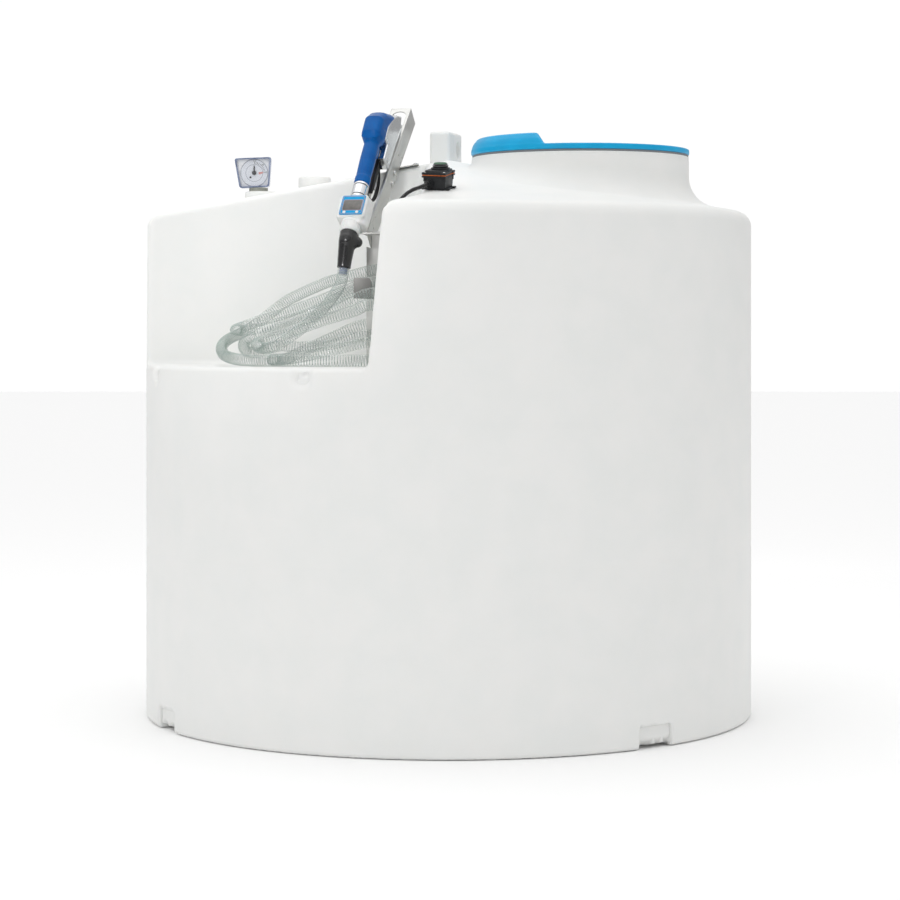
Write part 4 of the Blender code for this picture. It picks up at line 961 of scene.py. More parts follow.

# %% [markdown]
# ## Lug, vent and bosses
# The lifting lug is a hollow tab moulded into the roof, with a hole for a hook. Its upper part is made
# finer than the tank's skin can be: a distance again, with a hole whose rim is rounded, on a grid of
# 2.5 mm. The vent is a loose cap on a boss, with a shadow gap under it.

# %% Lug and vent


def lug_form(p):
    """The lug's block with its rib and its hole."""
    turn = np.array(LUG.inverted())
    local = p @ turn[:3, :3].T + turn[:3, 3]
    u, v, z = local[..., 0], local[..., 1], local[..., 2]
    block = box_distance(u, v, z - 1.277, (0.025, 0.056, 0.077), 0.009)
    hole = np.hypot(v - 0.026, z - 1.313) - 0.021
    rib = slab(np.abs(v + 0.017) - 0.004, np.abs(u) - 0.0262, 0.0015)
    rib = slab(rib, np.abs(z - 1.280) - 0.068, 0.002)
    return round_and(round_or(block, rib, 0.004), -hole, 0.005)


lug_skin = skin_of(lug_form, (-0.062, 0.060, 1.235), (0.048, 0.202, 1.3605), 0.0025)
piece("lug_moulding", joined((lug_skin, 1)), white, smooth=None, stands_for=["lifting_lug"])
vent_at = Matrix.Translation((*VENT, 0))
foot = [(0, 1.228), (0.030, 1.228), (0.0335, 1.2262), (0.0345, 1.222), (0.0395, 1.205), (0.040, 1.16),
        (0, 1.16)]
piece("vent_foot", lathe(foot, vent_at), white, stands_for=["vent_boss"], smooth=25)
cap = [(0, 1.2283), (0.037, 1.2283), (0.0385, 1.2295), (0.0395, 1.2320), (0.0395, 1.2490), (0.0385, 1.2535),
       (0.0355, 1.2558), (0.024, 1.2560), (0.022, 1.2552), (0, 1.2552)]
piece("vent_cover", lathe(cap, vent_at, 96), white, stands_for=["vent_cap"], smooth=25)
foot = [(0, 1.217), (0.0375, 1.217), (0.0405, 1.2158), (0.0420, 1.213), (0.0435, 1.18), (0.044, 1.15),
        (0, 1.15)]
piece("gauge_foot", lathe(foot, Matrix.Translation((*GAUGE, 0))), white, stands_for=["gauge_boss"],
      smooth=25)

# %% [markdown]
# ## Rings of marks, and fasteners
# Two things repeat all over such a machine: marks round a circle (ticks on a dial, grip ribs on a nut)
# and small screws. Each gets one Geometry Nodes tree with named inputs. The first spreads blocks round
# an arc. The second sets a washer and a domed head on each vertex of a carrier mesh, turned to face the
# way that the vertex's attribute says.

# %% Geometry Nodes for repeats


def marks_tree():
    """A tree that spreads blocks round an arc."""
    tree, given, result = tree_with("marks_round_an_arc", {"Count": 12, "Radius": 0.02, "Long": 0.004,
                                                          "Wide": 0.001, "High": 0.001, "From": 0.0,
                                                          "Step": 0.5})
    inputs = given.outputs
    points = add(tree, "GeometryNodePoints", Count=inputs["Count"])
    number = add(tree, "GeometryNodeInputIndex").outputs[0]
    turn = add(tree, "ShaderNodeMath", {"operation": "MULTIPLY_ADD"}, n0=number, n1=inputs["Step"],
               n2=inputs["From"])
    x = add(tree, "ShaderNodeMath", {"operation": "COSINE"}, n0=turn.outputs[0])
    y = add(tree, "ShaderNodeMath", {"operation": "SINE"}, n0=turn.outputs[0])
    unit = add(tree, "ShaderNodeCombineXYZ", X=x.outputs[0], Y=y.outputs[0])
    place = add(tree, "ShaderNodeVectorMath", {"operation": "SCALE"}, n0=unit.outputs[0],
                Scale=inputs["Radius"])
    spread = add(tree, "GeometryNodeSetPosition", Geometry=points.outputs[0], Position=place.outputs[0])
    size = add(tree, "ShaderNodeCombineXYZ", X=inputs["Long"], Y=inputs["Wide"], Z=inputs["High"])
    block = add(tree, "GeometryNodeMeshCube", Size=size.outputs[0])
    facing = add(tree, "ShaderNodeCombineXYZ", Z=turn.outputs[0])
    put = add(tree, "GeometryNodeInstanceOnPoints", Points=spread.outputs[0], Instance=block.outputs[0],
              Rotation=facing.outputs[0])
    return dressed(tree, put, given, result)


def screws_tree():
    """A tree that sets a washer and a domed head on each point."""
    tree, given, result = tree_with("domed_screws_on_points", {"Head radius": 0.004, "Head height": 0.002,
                                                              "Washer radius": 0.005})
    inputs = given.outputs
    dome = add(tree, "GeometryNodeMeshUVSphere", {"Segments": 20, "Rings": 10, "Radius": 1.0})
    squash = add(tree, "ShaderNodeCombineXYZ", X=inputs["Head radius"], Y=inputs["Head radius"],
                 Z=inputs["Head height"])
    head = add(tree, "GeometryNodeTransform", Geometry=dome.outputs[0], Scale=squash.outputs[0])
    ring = add(tree, "GeometryNodeMeshCylinder", {"Vertices": 24, "Depth": 0.0012},
               Radius=inputs["Washer radius"])
    both = add(tree, "GeometryNodeJoinGeometry")
    tree.links.new(head.outputs[0], both.inputs[0])
    tree.links.new(ring.outputs[0], both.inputs[0])
    way = add(tree, "GeometryNodeInputNamedAttribute", {"data_type": "FLOAT_VECTOR", "Name": "facing"})
    turn = add(tree, "FunctionNodeAlignRotationToVector", {"axis": "Z"}, Vector=way.outputs[0])
    put = add(tree, "GeometryNodeInstanceOnPoints", Points=inputs["Geometry"], Instance=both.outputs[0],
              Rotation=turn.outputs[0])
    return dressed(tree, put, given, result)


MARKS = marks_tree()
SCREWS = screws_tree()


def carrier(places=((0, 0, 0),), ways=((0, 0, 1),)):
    """Loose points that say which way they face."""
    mesh = bpy.data.meshes.new("carrier")
    mesh.from_pydata([tuple(p) for p in places], [], [])
    facing = mesh.attributes.new("facing", "FLOAT_VECTOR", "POINT")
    facing.data.foreach_set("vector", [v for way in ways for v in way])
    return linked("carrier", mesh)


def marks(where, finish, **values):
    """Blocks round an arc, in a frame."""
    mesh = baked(carrier(), MARKS, {**values, "Finish": finish})
    mesh.transform(where)
    return mesh


def screws(name, places, way, radius, finish, where=None, body="tank"):
    """Domed screws at places in a frame, all facing one way."""
    where = where or Matrix()
    way = (where.to_3x3() @ Vector(way)).normalized()
    spots = [where @ Vector(p) for p in places]
    mesh = baked(carrier(spots, [way] * len(spots)), SCREWS,
                 {"Head radius": radius, "Head height": radius * 0.6, "Washer radius": radius * 1.35,
                  "Finish": finish})
    return piece(name, mesh, finish, body=body, smooth=40)


def flat_piece(outline, low, high, where=None, bevel=0.0006, segments=2):
    """An outline given thickness, with small rounded edges on both faces."""
    form = bmesh.new()
    area = sum(a[0] * b[1] - b[0] * a[1] for a, b in zip(outline, outline[1:] + outline[:1]))
    points = outline if area > 0 else outline[::-1]
    bottom = [form.verts.new((x, y, low)) for x, y in points]
    top = [form.verts.new((x, y, high)) for x, y in points]
    form.faces.new(bottom[::-1])
    form.faces.new(top)
    for i in range(len(points)):
        j = (i + 1) % len(points)
        form.faces.new((bottom[i], bottom[j], top[j], top[i]))
    if bevel:
        edges = [e for e in form.edges if abs(e.verts[0].co.z - e.verts[1].co.z) < 1e-7]
        bmesh.ops.bevel(form, geom=edges, offset=bevel, segments=segments, profile=0.5, affect="EDGES")
    bmesh.ops.transform(form, matrix=where or Matrix(), verts=form.verts)
    return form


def rounded(outline, radius, steps=4):
    """An outline whose corners are arcs of about one radius."""
    points = []
    count = len(outline)
    for i in range(count):
        corner = Vector(outline[i])
        to, fro = Vector(outline[i - 1]) - corner, Vector(outline[(i + 1) % count]) - corner
        start, end = corner + to.normalized() * radius, corner + fro.normalized() * radius
        for k in range(steps + 1):
            t = k / steps
            points.append(tuple((1 - t) ** 2 * start + 2 * t * (1 - t) * corner + t * t * end))
    return points


def placed(skin, where):
    """A skin moved from a piece's own frame into the object's."""
    points, faces, normals = skin
    turn = np.array(where.to_3x3())
    return points @ turn.T + np.array(where.translation), faces, normals @ turn.T


# %% [markdown]
# ## The level gauge
# A small clock of clear acrylic on a grey fitting. The plastic's thick edge looks grey blue, where light
# runs along inside it, and the corners behind the window look frosted. The dial is printed card with
# ticks on its right half and a red low mark, and the pointer turns on its own joint.

# %% Gauge
GAUGE_DIAL = Vector((-0.4685, 0.200, 1.2622))
STAND = Matrix.Rotation(math.pi / 2, 4, "X")  # an outline's Y becomes up, and its Z points to the viewer
case_outline = [(-0.5034, 1.2252), (-0.4318, 1.2286), (-0.4270, 1.3004), (-0.5158, 1.2970)]
middle = Vector((sum(x for x, _ in case_outline) / 4, sum(z for _, z in case_outline) / 4))


def shrunk(outline, by):
    """The case's outline drawn in towards its middle."""
    return [tuple(middle + (Vector(p) - middle) * (1 - by / 0.036)) for p in outline]


def hoop(outer, inner, low, high, where):
    """A frame between two outlines with as many points each."""
    form = bmesh.new()
    rings = [[form.verts.new((x, y, z)) for x, y in line]
             for line, z in ((outer, low), (outer, high), (inner, high), (inner, low))]
    for a, b in zip(rings, rings[1:] + rings[:1]):
        for i in range(len(a)):
            j = (i + 1) % len(a)
            form.faces.new((a[i], a[j], b[j], b[i]))
    bmesh.ops.recalc_face_normals(form, faces=form.faces)
    bmesh.ops.transform(form, matrix=where, verts=form.verts)
    return form


outer_line = rounded(case_outline, 0.0065)
inner_line = rounded(shrunk(case_outline, 0.0034), 0.0045)
piece("gauge_frame", hoop(outer_line, inner_line, -0.2150, -0.1852, STAND), acrylic_edge,
      stands_for=["gauge_case"], smooth=50)
shell_line = rounded(shrunk(case_outline, 0.0032), 0.0045)
piece("gauge_shell", flat_piece(shell_line, -0.2140, -0.1935, STAND, 0.0004), acrylic_body)
dial_at = Matrix.Translation(GAUGE_DIAL) @ STAND
card = [(0, 0.0072), (0.0325, 0.0072), (0.0327, 0.0068), (0.0327, -0.0062), (0, -0.0062)]
piece("gauge_card", lathe(card, dial_at, 96), dial_white, stands_for=["gauge_dial"], smooth=30)


def circle(radius, sides=96):
    """A round outline."""
    turns = (2 * math.pi * k / sides for k in range(sides))
    return [(radius * math.cos(t), radius * math.sin(t)) for t in turns]


ring_lines = together(hoop(circle(0.0209), circle(0.0199), 0.0072, 0.0074, dial_at),
                      hoop(circle(0.0332), circle(0.0320), 0.0070, 0.0076, dial_at))
piece("gauge_rings", ring_lines, grey_ink)
ticks = marks(dial_at @ Matrix.Translation((0, 0, 0.0073)), ink, Count=11, Radius=0.0245, Long=0.0046,
              Wide=0.0009, High=0.0003, From=0.05, Step=0.15)
piece("gauge_ticks", ticks, ink, smooth=None)
low_mark = [(0.0105, 0.0020), (0.0215, 0.0028), (0.0215, -0.0002), (0.0150, -0.0030), (0.0108, -0.0032)]
piece("gauge_low_mark", flat_piece(low_mark, 0.0072, 0.0075, dial_at, 0), red_ink, smooth=None)
screw_foot, screw_top = [dial_at @ Vector((-0.0092, -0.0104, z)) for z in (0.0070, 0.0082)]
piece("gauge_dial_screw", round_bar(screw_foot, screw_top, 0.0025, 20), black)


def numeral(name, words, size, centre, where, finish):
    """Figures on a face, turned into a mesh before they are placed."""
    text = bpy.data.curves.new(name, "FONT")
    text.body = words
    text.size = size
    text.align_x = text.align_y = "CENTER"
    text.extrude = 0.0001
    mesh = evaluated(linked(name, text))
    mesh.materials.clear()
    mesh.transform(where @ Matrix.Translation(centre))
    return piece(name, mesh, finish, smooth=None)


for words, x, y in (("0", 0.0285, 0.0015), ("50", 0.0205, 0.0195), ("100", 0.0005, 0.0290)):
    numeral(f"gauge_figure_{words}", words, 0.0060, (x, y, 0.0073), dial_at, ink)
glass = [(0, 0.0150), (0.0323, 0.0150), (0.0327, 0.0146), (0.0327, 0.0130), (0, 0.0130)]
piece("gauge_glass", lathe(glass, dial_at, 72), acrylic, stands_for=["gauge_window"], smooth=30)
hand_at = dial_at @ Matrix.Translation((0, 0, 0.0102))
hub = [(0, -0.0008), (0.0050, -0.0008), (0.0054, -0.0002), (0.0050, 0.0008), (0.0030, 0.0018), (0, 0.0022)]
needle = [(-0.0017, 0.0), (0.0017, 0.0), (0.0016, 0.0125), (0.0010, 0.0170), (0, 0.0190), (-0.0010, 0.0170),
          (-0.0016, 0.0125)]
hand = together(lathe(hub, hand_at, 36), flat_piece(needle, -0.0005, 0.0006, hand_at, 0.0002))
piece("gauge_hand", hand, black, body="pointer", stands_for=["gauge_pointer"], smooth=30)
neck_at = Matrix.Translation((-0.4586, 0.200, 0))
fitting = [(0, 1.2175), (0.0225, 1.2175), (0.0225, 1.2195), (0.0212, 1.2200), (0.0212, 1.2240),
           (0.0225, 1.2245), (0.0225, 1.2262), (0, 1.2262)]
piece("gauge_fitting", lathe(fitting, neck_at, 48), grey, stands_for=["gauge_neck"], smooth=30)
posts = marks(neck_at @ Matrix.Translation((0, 0, 1.2219)), grey, Count=10, Radius=0.0212, Long=0.0024,
              Wide=0.0030, High=0.0070, From=0.1, Step=0.6283)
piece("gauge_fitting_posts", posts, grey, smooth=None)
print("gauge done")

# %% [markdown]
# ## The push-button switch
# A black moulded box on the roof: a tapered base with feet, two flanges that pinch an orange seal, screw
# posts at the corners, and a button under a rubber bellows with a green crown. The gland and a ribbed
# sleeve take the cable out of its left side.

# %% Switch


def tapered_box(bottom, top, low, high, bevel):
    """A box whose top has another size than its bottom."""
    form = bmesh.new()
    bmesh.ops.create_cube(form, size=1.0)
    for vert in form.verts:
        size = top if vert.co.z > 0 else bottom
        vert.co = (vert.co.x * size[0], vert.co.y * size[1], high if vert.co.z > 0 else low)
    bmesh.ops.bevel(form, geom=list(form.edges), offset=bevel, segments=3, profile=0.5, affect="EDGES")
    return form


def flange(x, y, low, high):
    """A plate with lobes at its corners, where the screws go."""
    lobe, slope, dip = 0.011, 0.013, 0.0016
    line = [(-x, -y), (-x + lobe, -y), (-x + slope, -y + dip), (x - slope, -y + dip), (x - lobe, -y), (x, -y),
            (x, -y + lobe), (x - dip, -y + slope), (x - dip, y - slope), (x, y - lobe), (x, y),
            (x - lobe, y), (x - slope, y - dip), (-x + slope, y - dip), (-x + lobe, y), (-x, y),
            (-x, y - lobe), (-x + dip, y - slope), (-x + dip, -y + slope), (-x, -y + lobe)]
    return flat_piece(line, low, high)


CORNERS = [(sx, sy) for sx in (-1, 1) for sy in (-1, 1)]
posts = [round_bar((sx * 0.0215, sy * 0.0255, 0.019), (sx * 0.0215, sy * 0.0255, 0.0280), 0.0036, 20)
         for sx, sy in CORNERS]
feet = [soft_box((0.014, 0.012, 0.0040), (sx * 0.0240 + 0.001, sy * 0.0190, 0.0027), bevel=0.0018)
        for sx, sy in CORNERS]
base = together(tapered_box((0.045, 0.053), (0.0485, 0.0565), 0.0008, 0.0285, 0.0025),
                flange(0.0268, 0.0308, 0.0272, 0.0307),
                soft_box((0.052, 0.046, 0.003), (0.001, 0, 0.0022), bevel=0.001), *posts, *feet)
piece("switch_housing", in_frame(base, SWITCH), black, stands_for=["switch_base"], smooth=32)
piece("switch_gasket", in_frame(flange(0.0264, 0.0304, 0.0312, 0.0329), SWITCH), orange,
      stands_for=["switch_seal"], smooth=32)
button_at = Matrix.Translation((0.004, 0.002, 0))
collar = [(0, 0.0423), (0.0200, 0.0423), (0.0203, 0.0432), (0.0203, 0.0446), (0.0196, 0.0456),
          (0.0165, 0.0460), (0.0162, 0.0476), (0, 0.0476)]
cover = together(flange(0.0268, 0.0308, 0.0334, 0.0382),
                 tapered_box((0.047, 0.055), (0.043, 0.051), 0.0375, 0.0423, 0.0015),
                 lathe(collar, button_at, 64))
piece("switch_cover", in_frame(cover, SWITCH), black, stands_for=["switch_lid"], smooth=32)
bellows = [(0, 0.0478), (0.0150, 0.0478), (0.0168, 0.0486), (0.0172, 0.0494), (0.0168, 0.0502),
           (0.0152, 0.0508), (0.0150, 0.0513), (0.0156, 0.0520), (0.0158, 0.0528), (0.0152, 0.0536),
           (0.0138, 0.0542), (0, 0.0542)]
piece("switch_bellows", lathe(bellows, SWITCH @ button_at, 64), rubber, smooth=50)
crown = [(0, 0.0541), (0.0136, 0.0541), (0.0140, 0.0548), (0.0134, 0.0556), (0.0110, 0.0564),
         (0.0060, 0.0569), (0, 0.0570)]
piece("switch_crown", lathe(crown, SWITCH @ button_at, 64), green, stands_for=["switch_button"],
      smooth=50)
gland_at = SWITCH @ Matrix.Translation((-0.012, -0.0285, 0.015)) @ Matrix.Rotation(math.pi / 2, 4, "X")
gland = [(0, 0), (0.0098, 0), (0.0100, 0.0008), (0.0100, 0.0030), (0.0092, 0.0038), (0.0074, 0.0042),
         (0.0074, 0.0095), (0.0066, 0.0118), (0.0050, 0.0134), (0, 0.0134)]
piece("switch_gland", lathe(gland, gland_at, 36), black, stands_for=["cable_gland"], smooth=32)
ribs = marks(gland_at @ Matrix.Translation((0, 0, 0.0068)), black, Count=18, Radius=0.0074, Long=0.0012,
             Wide=0.0011, High=0.0050, From=0.0, Step=0.34907)
piece("switch_gland_ribs", ribs, black, smooth=None)
screws("switch_screws", [(sx * 0.0212, sy * 0.0252, 0.0382) for sx, sy in CORNERS], (0, 0, 1), 0.0026,
       bolt_steel, SWITCH)
grommet = [(0.0035, 0), (0.0080, 0), (0.0080, 0.0030), (0.0064, 0.0036), (0.0064, 0.0044), (0.0074, 0.0050),
           (0.0070, 0.0062), (0.0035, 0.0062)]
grommet_at = Matrix.Translation((-0.0690, -0.570, 1.080)) @ Matrix.Rotation(-math.pi / 2, 4, "Y")
piece("lead_grommet", lathe(grommet, grommet_at, 36, closed=True), rubber,
      stands_for=["cable_grommet"], smooth=32)
print("switch done")

# %% [markdown]
# ## The nozzle's holder
# One folded channel of 2.5 mm stainless sheet leans back over the bay, with a long round-topped opening
# for the spout, a foot on the roof, a leg on the ledge and a hook for the hose. The CAD already has
# those folds. A copy gets what the photograph adds: pierced holes, and edges that the deburring wheel
# has broken, so that they catch light. Domed bolts come from the screw tree.

# %% Holder
YAW = math.radians(17.2)


def leaning_frame(origin, lean):
    """Columns: to the right, back and down, and up along the leaning piece."""
    lean = math.radians(lean)
    right = Vector((math.cos(YAW), -math.sin(YAW), 0))
    back = Vector((math.cos(lean) * math.sin(YAW), math.cos(lean) * math.cos(YAW), -math.sin(lean)))
    up = Vector((math.sin(lean) * math.sin(YAW), math.sin(lean) * math.cos(YAW), math.cos(lean)))
    return Matrix.Translation(origin) @ Matrix((right, back, up)).transposed().to_4x4()


HOLDER = leaning_frame((-0.1119, 0.0585, 1.4058), 46)
NOZZLE = leaning_frame((-0.1662, -0.1170, 1.3455), 36.5)


def worked_copy(node, name, finish, holes=(), edge=0.0004, body="tank"):
    """A copy of a CAD node with round holes cut through it and its sharp edges broken."""
    form = bmesh.new()
    form.from_mesh(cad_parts[node].data)
    bmesh.ops.remove_doubles(form, verts=form.verts, dist=0.00001)
    bmesh.ops.dissolve_limit(form, angle_limit=math.radians(1), verts=form.verts, edges=form.edges)
    base = linked(name, mesh_of(form))
    cutters = [linked("cutter", mesh_of(round_bar(*hole))) for hole in holes]
    for cutter in cutters:
        change = base.modifiers.new("hole", "BOOLEAN")
        change.operation = "DIFFERENCE"
        change.object = cutter
    soften = base.modifiers.new("broken edges", "BEVEL")
    soften.width, soften.segments = edge, 2
    soften.angle_limit = math.radians(40)
    mesh = evaluated(base, *cutters)
    mesh.materials.clear()
    return piece(name, mesh, finish, body=body, stands_for=[node], smooth=35)


def through(x, y, along, radius):
    """A hole through a side wall of the channel, at a depth and a distance below its top."""
    return HOLDER @ Vector((x - 0.006, y, along)), HOLDER @ Vector((x + 0.006, y, along)), radius


RIGHT_WALL = 0.0245 - 0.00125  # the middle of the side wall's thickness
side_holes = [through(RIGHT_WALL, *hole) for hole in (
    (0.020, -0.148, 0.0024), (0.040, -0.134, 0.0024), (0.040, -0.152, 0.0024), (0.014, -0.372, 0.0028),
    (0.022, -0.400, 0.0028))]
worked_copy("holder_channel", "holder_folded_channel", steel, side_holes)
worked_copy("holder_roof_foot", "holder_foot_plate", steel)
worked_copy("holder_leg", "holder_leg_plate", steel)
# The hook is drawn in the darker steel, whose colour is painted shade
worked_copy("hose_hook", "holder_hose_hook", plain_steel_painted_shade)
screws("holder_side_bolts", [(0.0250, 0.030, -0.201), (0.0250, 0.0364, -0.231)], (1, 0, 0), 0.0064,
       bolt_steel, HOLDER)
foot_at = Matrix.Translation((-0.094, 0.004, roof_height(-0.094, 0))) @ Matrix.Rotation(-ROOF_TILT, 4, "Y")
screws("holder_foot_bolts", [(0.017, -0.026, 0.0042), (0.017, 0.026, 0.0042)], (0, 0, 1), 0.0042, bolt_steel,
       foot_at)
screws("holder_rest_bolts", [(-0.150, -0.262, 1.0962), (-0.184, -0.262, 1.0962)], (0, 0, -1), 0.0036,
       bolt_steel)
print("holder done")

# %% [markdown]
# ## The filling nozzle
# A pistol for diesel: a cast aluminium body, polished where it shows, under a dipped blue vinyl cover
# that is one with the handle. Dipping leaves soft thick edges, so the cover is described by distances
# once more: its side outline given thickness, a handle with a collar, and a tongue, run together with
# fillets. It is made upright at the origin and then placed in the nozzle's leaning frame.

# %% Nozzle cover and body
COVER = [(-0.024, -0.049), (-0.031, -0.032), (-0.031, 0.010), (-0.012, 0.037), (0.020, 0.060), (0.037, 0.069),
         (0.042, 0.056), (0.030, 0.032), (0.0204, 0.012), (0.0204, -0.040)]
BODY = [(0.0360, -0.0620), (0.0360, -0.0180), (0.0140, -0.0170), (0.0140, 0.0186), (0.028, 0.054),
        (0.048, 0.0800), (0.0700, 0.0950), (0.0740, 0.1020), (0.0850, 0.0709), (0.0830, 0.0450),
        (0.0800, 0.0000), (0.0780, -0.0300), (0.0742, -0.0620)]
TONGUE = [(0.008, -0.030), (0.0200, -0.020), (0.0330, -0.050), (0.0310, -0.068), (0.0150, -0.068)]
SLOT = [(0.030, -0.075), (0.030, -0.036), (0.072, -0.036), (0.072, -0.075)]
LEVER_PIVOT = (0.053, -0.053)
HANDLE_RADIUS = 0.0175


def cover_form(p):
    """The dipped cover: across, back and up along the nozzle."""
    x, b, a = p[..., 0], p[..., 1], p[..., 2]
    half = 0.0242 + 0.06 * b  # wider towards the back, and the front is crowned across
    head = slab(polygon_distance(b, a, COVER) + 6 * x * x, np.abs(x) - half, 0.0105)
    # A handle, a little fuller in the middle, with a collar at its lower end
    collar = 0.0012 / (1 + np.exp((a + 0.1500) * 1400))
    radius = HANDLE_RADIUS + 0.0006 * np.cos((a + 0.095) * 40) + collar
    handle = round_and(np.hypot(x, b) - radius, -a - 0.170, 0.003)
    handle = np.maximum(handle, a + 0.020)
    tongue = slab(polygon_distance(b, a, TONGUE), np.abs(x) - 0.010, 0.003)
    return round_or(round_or(head, handle, 0.012), tongue, 0.005)


def body_form(p):
    """The cast body, slotted where the lever's root goes."""
    x, b, a = p[..., 0], p[..., 1], p[..., 2]
    form = slab(polygon_distance(b, a, BODY), np.abs(x) - 0.0238, 0.0050)
    slot = np.maximum(polygon_distance(b, a, SLOT), np.abs(x) - 0.008)
    return round_and(form, -slot, 0.001)


cover_skin = placed(skin_of(cover_form, (-0.031, -0.034, -0.1725), (0.031, 0.075, 0.096), 0.0017), NOZZLE)
cover = piece("nozzle_cover_dipped", joined((cover_skin, 1)), cover_blue, smooth=None,
              stands_for=["nozzle_cover"])
body_skin = placed(skin_of(body_form, (-0.026, 0.011, -0.065), (0.026, 0.088, 0.105), 0.0016), NOZZLE)
body = piece("nozzle_body_cast", joined((body_skin, 1)), aluminium, smooth=None,
             stands_for=["nozzle_body"])
pin_at = NOZZLE @ Matrix.Translation((0, *LEVER_PIVOT))
pin = round_bar(pin_at @ Vector((-0.0240, 0, 0)), pin_at @ Vector((0.0240, 0, 0)), 0.0020, 20)
piece("lever_pin", pin, bolt_steel)
for side, way in (("right", 1), ("left", -1)):
    screws(f"lever_pin_head_{side}", [(0.0237 * way, 0, 0)], (way, 0, 0), 0.0040, bolt_steel, pin_at)
print("nozzle faces", len(cover.data.polygons), len(body.data.polygons))

# %% [markdown]
# ## Spout, guard, lever and swivel
# The spout is a real pipe with a bore. The guard is a flat bow of black plastic from the body's foot
# round to the handle. The lever turns on its pin inside that bow and carries the chrome latch, so both
# ride on the lever's body. The swivel is turned brass, chromed, with two dark O-ring bands.

# %% Nozzle fittings


def pipe(points, outside, inside, sides=40):
    """A tube with a bore open at its far end."""
    form = sweep(points, outside, sides, caps=False)
    count = len(form.verts)
    bore = sweep(points, inside, sides, caps=False)
    bmesh.ops.reverse_faces(bore, faces=bore.faces)
    form = together(form, bore)
    form.verts.ensure_lookup_table()
    last = count - sides
    for k in range(sides):
        j = (k + 1) % sides
        form.faces.new([form.verts[i] for i in (last + k, last + j, count + last + j, count + last + k)])
        form.faces.new([form.verts[i] for i in (j, k, count + k, count + j)])
    return form


direction = Vector((0, 0.943, 0.333))
root = Vector((0, 0.0795, 0.0865)) + direction * 0.0006
tip = Vector((0, 0.1440, 0.1170))
spout_path = catmull([root, root + direction * 0.010, Vector((0, 0.1050, 0.0995)),
                      Vector((0, 0.1200, 0.1075)), tip, tip + direction * 0.019], 40)
piece("spout_pipe", in_frame(pipe(spout_path, 0.0095, 0.0070), NOZZLE), aluminium,
      stands_for=["nozzle_spout"], smooth=40)
along = NOZZLE @ Matrix.Translation(root) @ direction.to_track_quat("Z", "Y").to_matrix().to_4x4()
collar = [(0.0096, 0.0012), (0.0122, 0.0012), (0.0128, 0.0022), (0.0128, 0.0066), (0.0120, 0.0078),
          (0.0096, 0.0078)]
piece("spout_collar", lathe(collar, along, 48, closed=True), chrome, smooth=32)
GUARD = ((0.0690, -0.0624), (0.0690, -0.0680), (0.0800, -0.0800), (0.0880, -0.0980), (0.0900, -0.1180),
         (0.0850, -0.1400), (0.0720, -0.1560), (0.0520, -0.1640), (0.0320, -0.1640), (0.0182, -0.1640))
bow = sweep(catmull([Vector((0, b, a)) for b, a in GUARD], 60), 0.0033, 16)
bmesh.ops.scale(bow, vec=(1.45, 1, 1), verts=bow.verts)
piece("guard_bow", in_frame(bow, NOZZLE), black, stands_for=["lever_guard"], smooth=50)
worked_copy("trigger_lever", "lever_moulding", black, edge=0.0012, body="lever")
worked_copy("lever_latch", "latch_plate", chrome, edge=0.0009, body="lever")
METER_TOP = -0.2145
low = METER_TOP + 0.0003
swivel = [(0, low), (0.0166, low), (0.0177, low + 0.0008), (0.0180, low + 0.0022), (0.0180, -0.2062),
          (0.0170, -0.2057), (0.0170, -0.2032), (0.0180, -0.2027), (0.0180, -0.1790), (0.0170, -0.1785),
          (0.0170, -0.1760), (0.0180, -0.1755), (0.0180, -0.1722), (0.0174, -0.1710), (0.0160, -0.1703),
          (0, -0.1703)]
piece("swivel_turned", lathe(swivel, NOZZLE, 64), chrome, stands_for=["nozzle_swivel"], smooth=32)
bands = together(*[lathe([(0.0168, low + 0.0002), (0.0173, low + 0.0002), (0.0175, low + 0.0011),
                          (0.0173, low + 0.0021), (0.0168, low + 0.0021)], NOZZLE, 64, closed=True)
                   for low in (-0.2056, -0.1784)])
piece("swivel_bands", bands, rubber, smooth=50)
print("nozzle fittings done")

# %% [markdown]
# ## The flow meter
# A counter between nozzle and hose: a waxy white acetal housing with a parting line and grip ribs on
# one edge, a blue printed face with thin brown lines, a grey liquid-crystal window and two buttons. The
# screen is left blank. A ribbed nut holds the hose's rubber boot.

# %% Flow meter
NUT_END = -0.3095
NUT_TOP = METER_TOP - 0.0644
METER_MIDDLE = METER_TOP - 0.032


def meter_form(p):
    """A rounded box with the meter's round chamber behind its right half."""
    x, b, a = p[..., 0], p[..., 1], p[..., 2] - METER_MIDDLE
    form = box_distance(x, b, a, (0.033, 0.0223, 0.0319), 0.0060)
    barrel = round_and(np.hypot(x - 0.0140, b - 0.0050) - 0.0225, np.abs(a + 0.0060) - 0.0375, 0.004)
    form = round_or(form, barrel, 0.004)
    form += 0.0007 * np.exp(-((b + 0.0125) / 0.0008) ** 2)  # the parting line round the housing
    ribs = 0.0006 * np.sin(a * 2 * np.pi / 0.0040) * (x < -0.0290) * (np.abs(a) < 0.024) * (b > -0.010)
    return form + ribs


meter_skin = skin_of(meter_form, (-0.035, -0.025, METER_TOP - 0.078), (0.039, 0.030, METER_TOP + 0.001),
                     0.0014, relax=1)
meter = piece("meter_moulding", joined((placed(meter_skin, NOZZLE), 1)), acetal, smooth=None,
              stands_for=["meter_housing"])
# The face's own frame: X to the right, Y up along the meter, Z towards the viewer
FACE = NOZZLE @ Matrix.Translation((0, -0.0228, METER_MIDDLE)) @ Matrix.Rotation(math.pi / 2, 4, "X")


def plate_outline(left, right, low, high, radius):
    """A rectangle with round corners."""
    return rounded([(left, low), (right, low), (right, high), (left, high)], radius)


def printed_line(left, right, low, high, radius, width, bottom, top):
    """A thin line that runs round such a rectangle, a little raised so that it shows."""
    return hoop(plate_outline(left, right, low, high, radius),
                plate_outline(left + width, right - width, low + width, high - width, radius - width * 0.6),
                bottom, top, FACE)


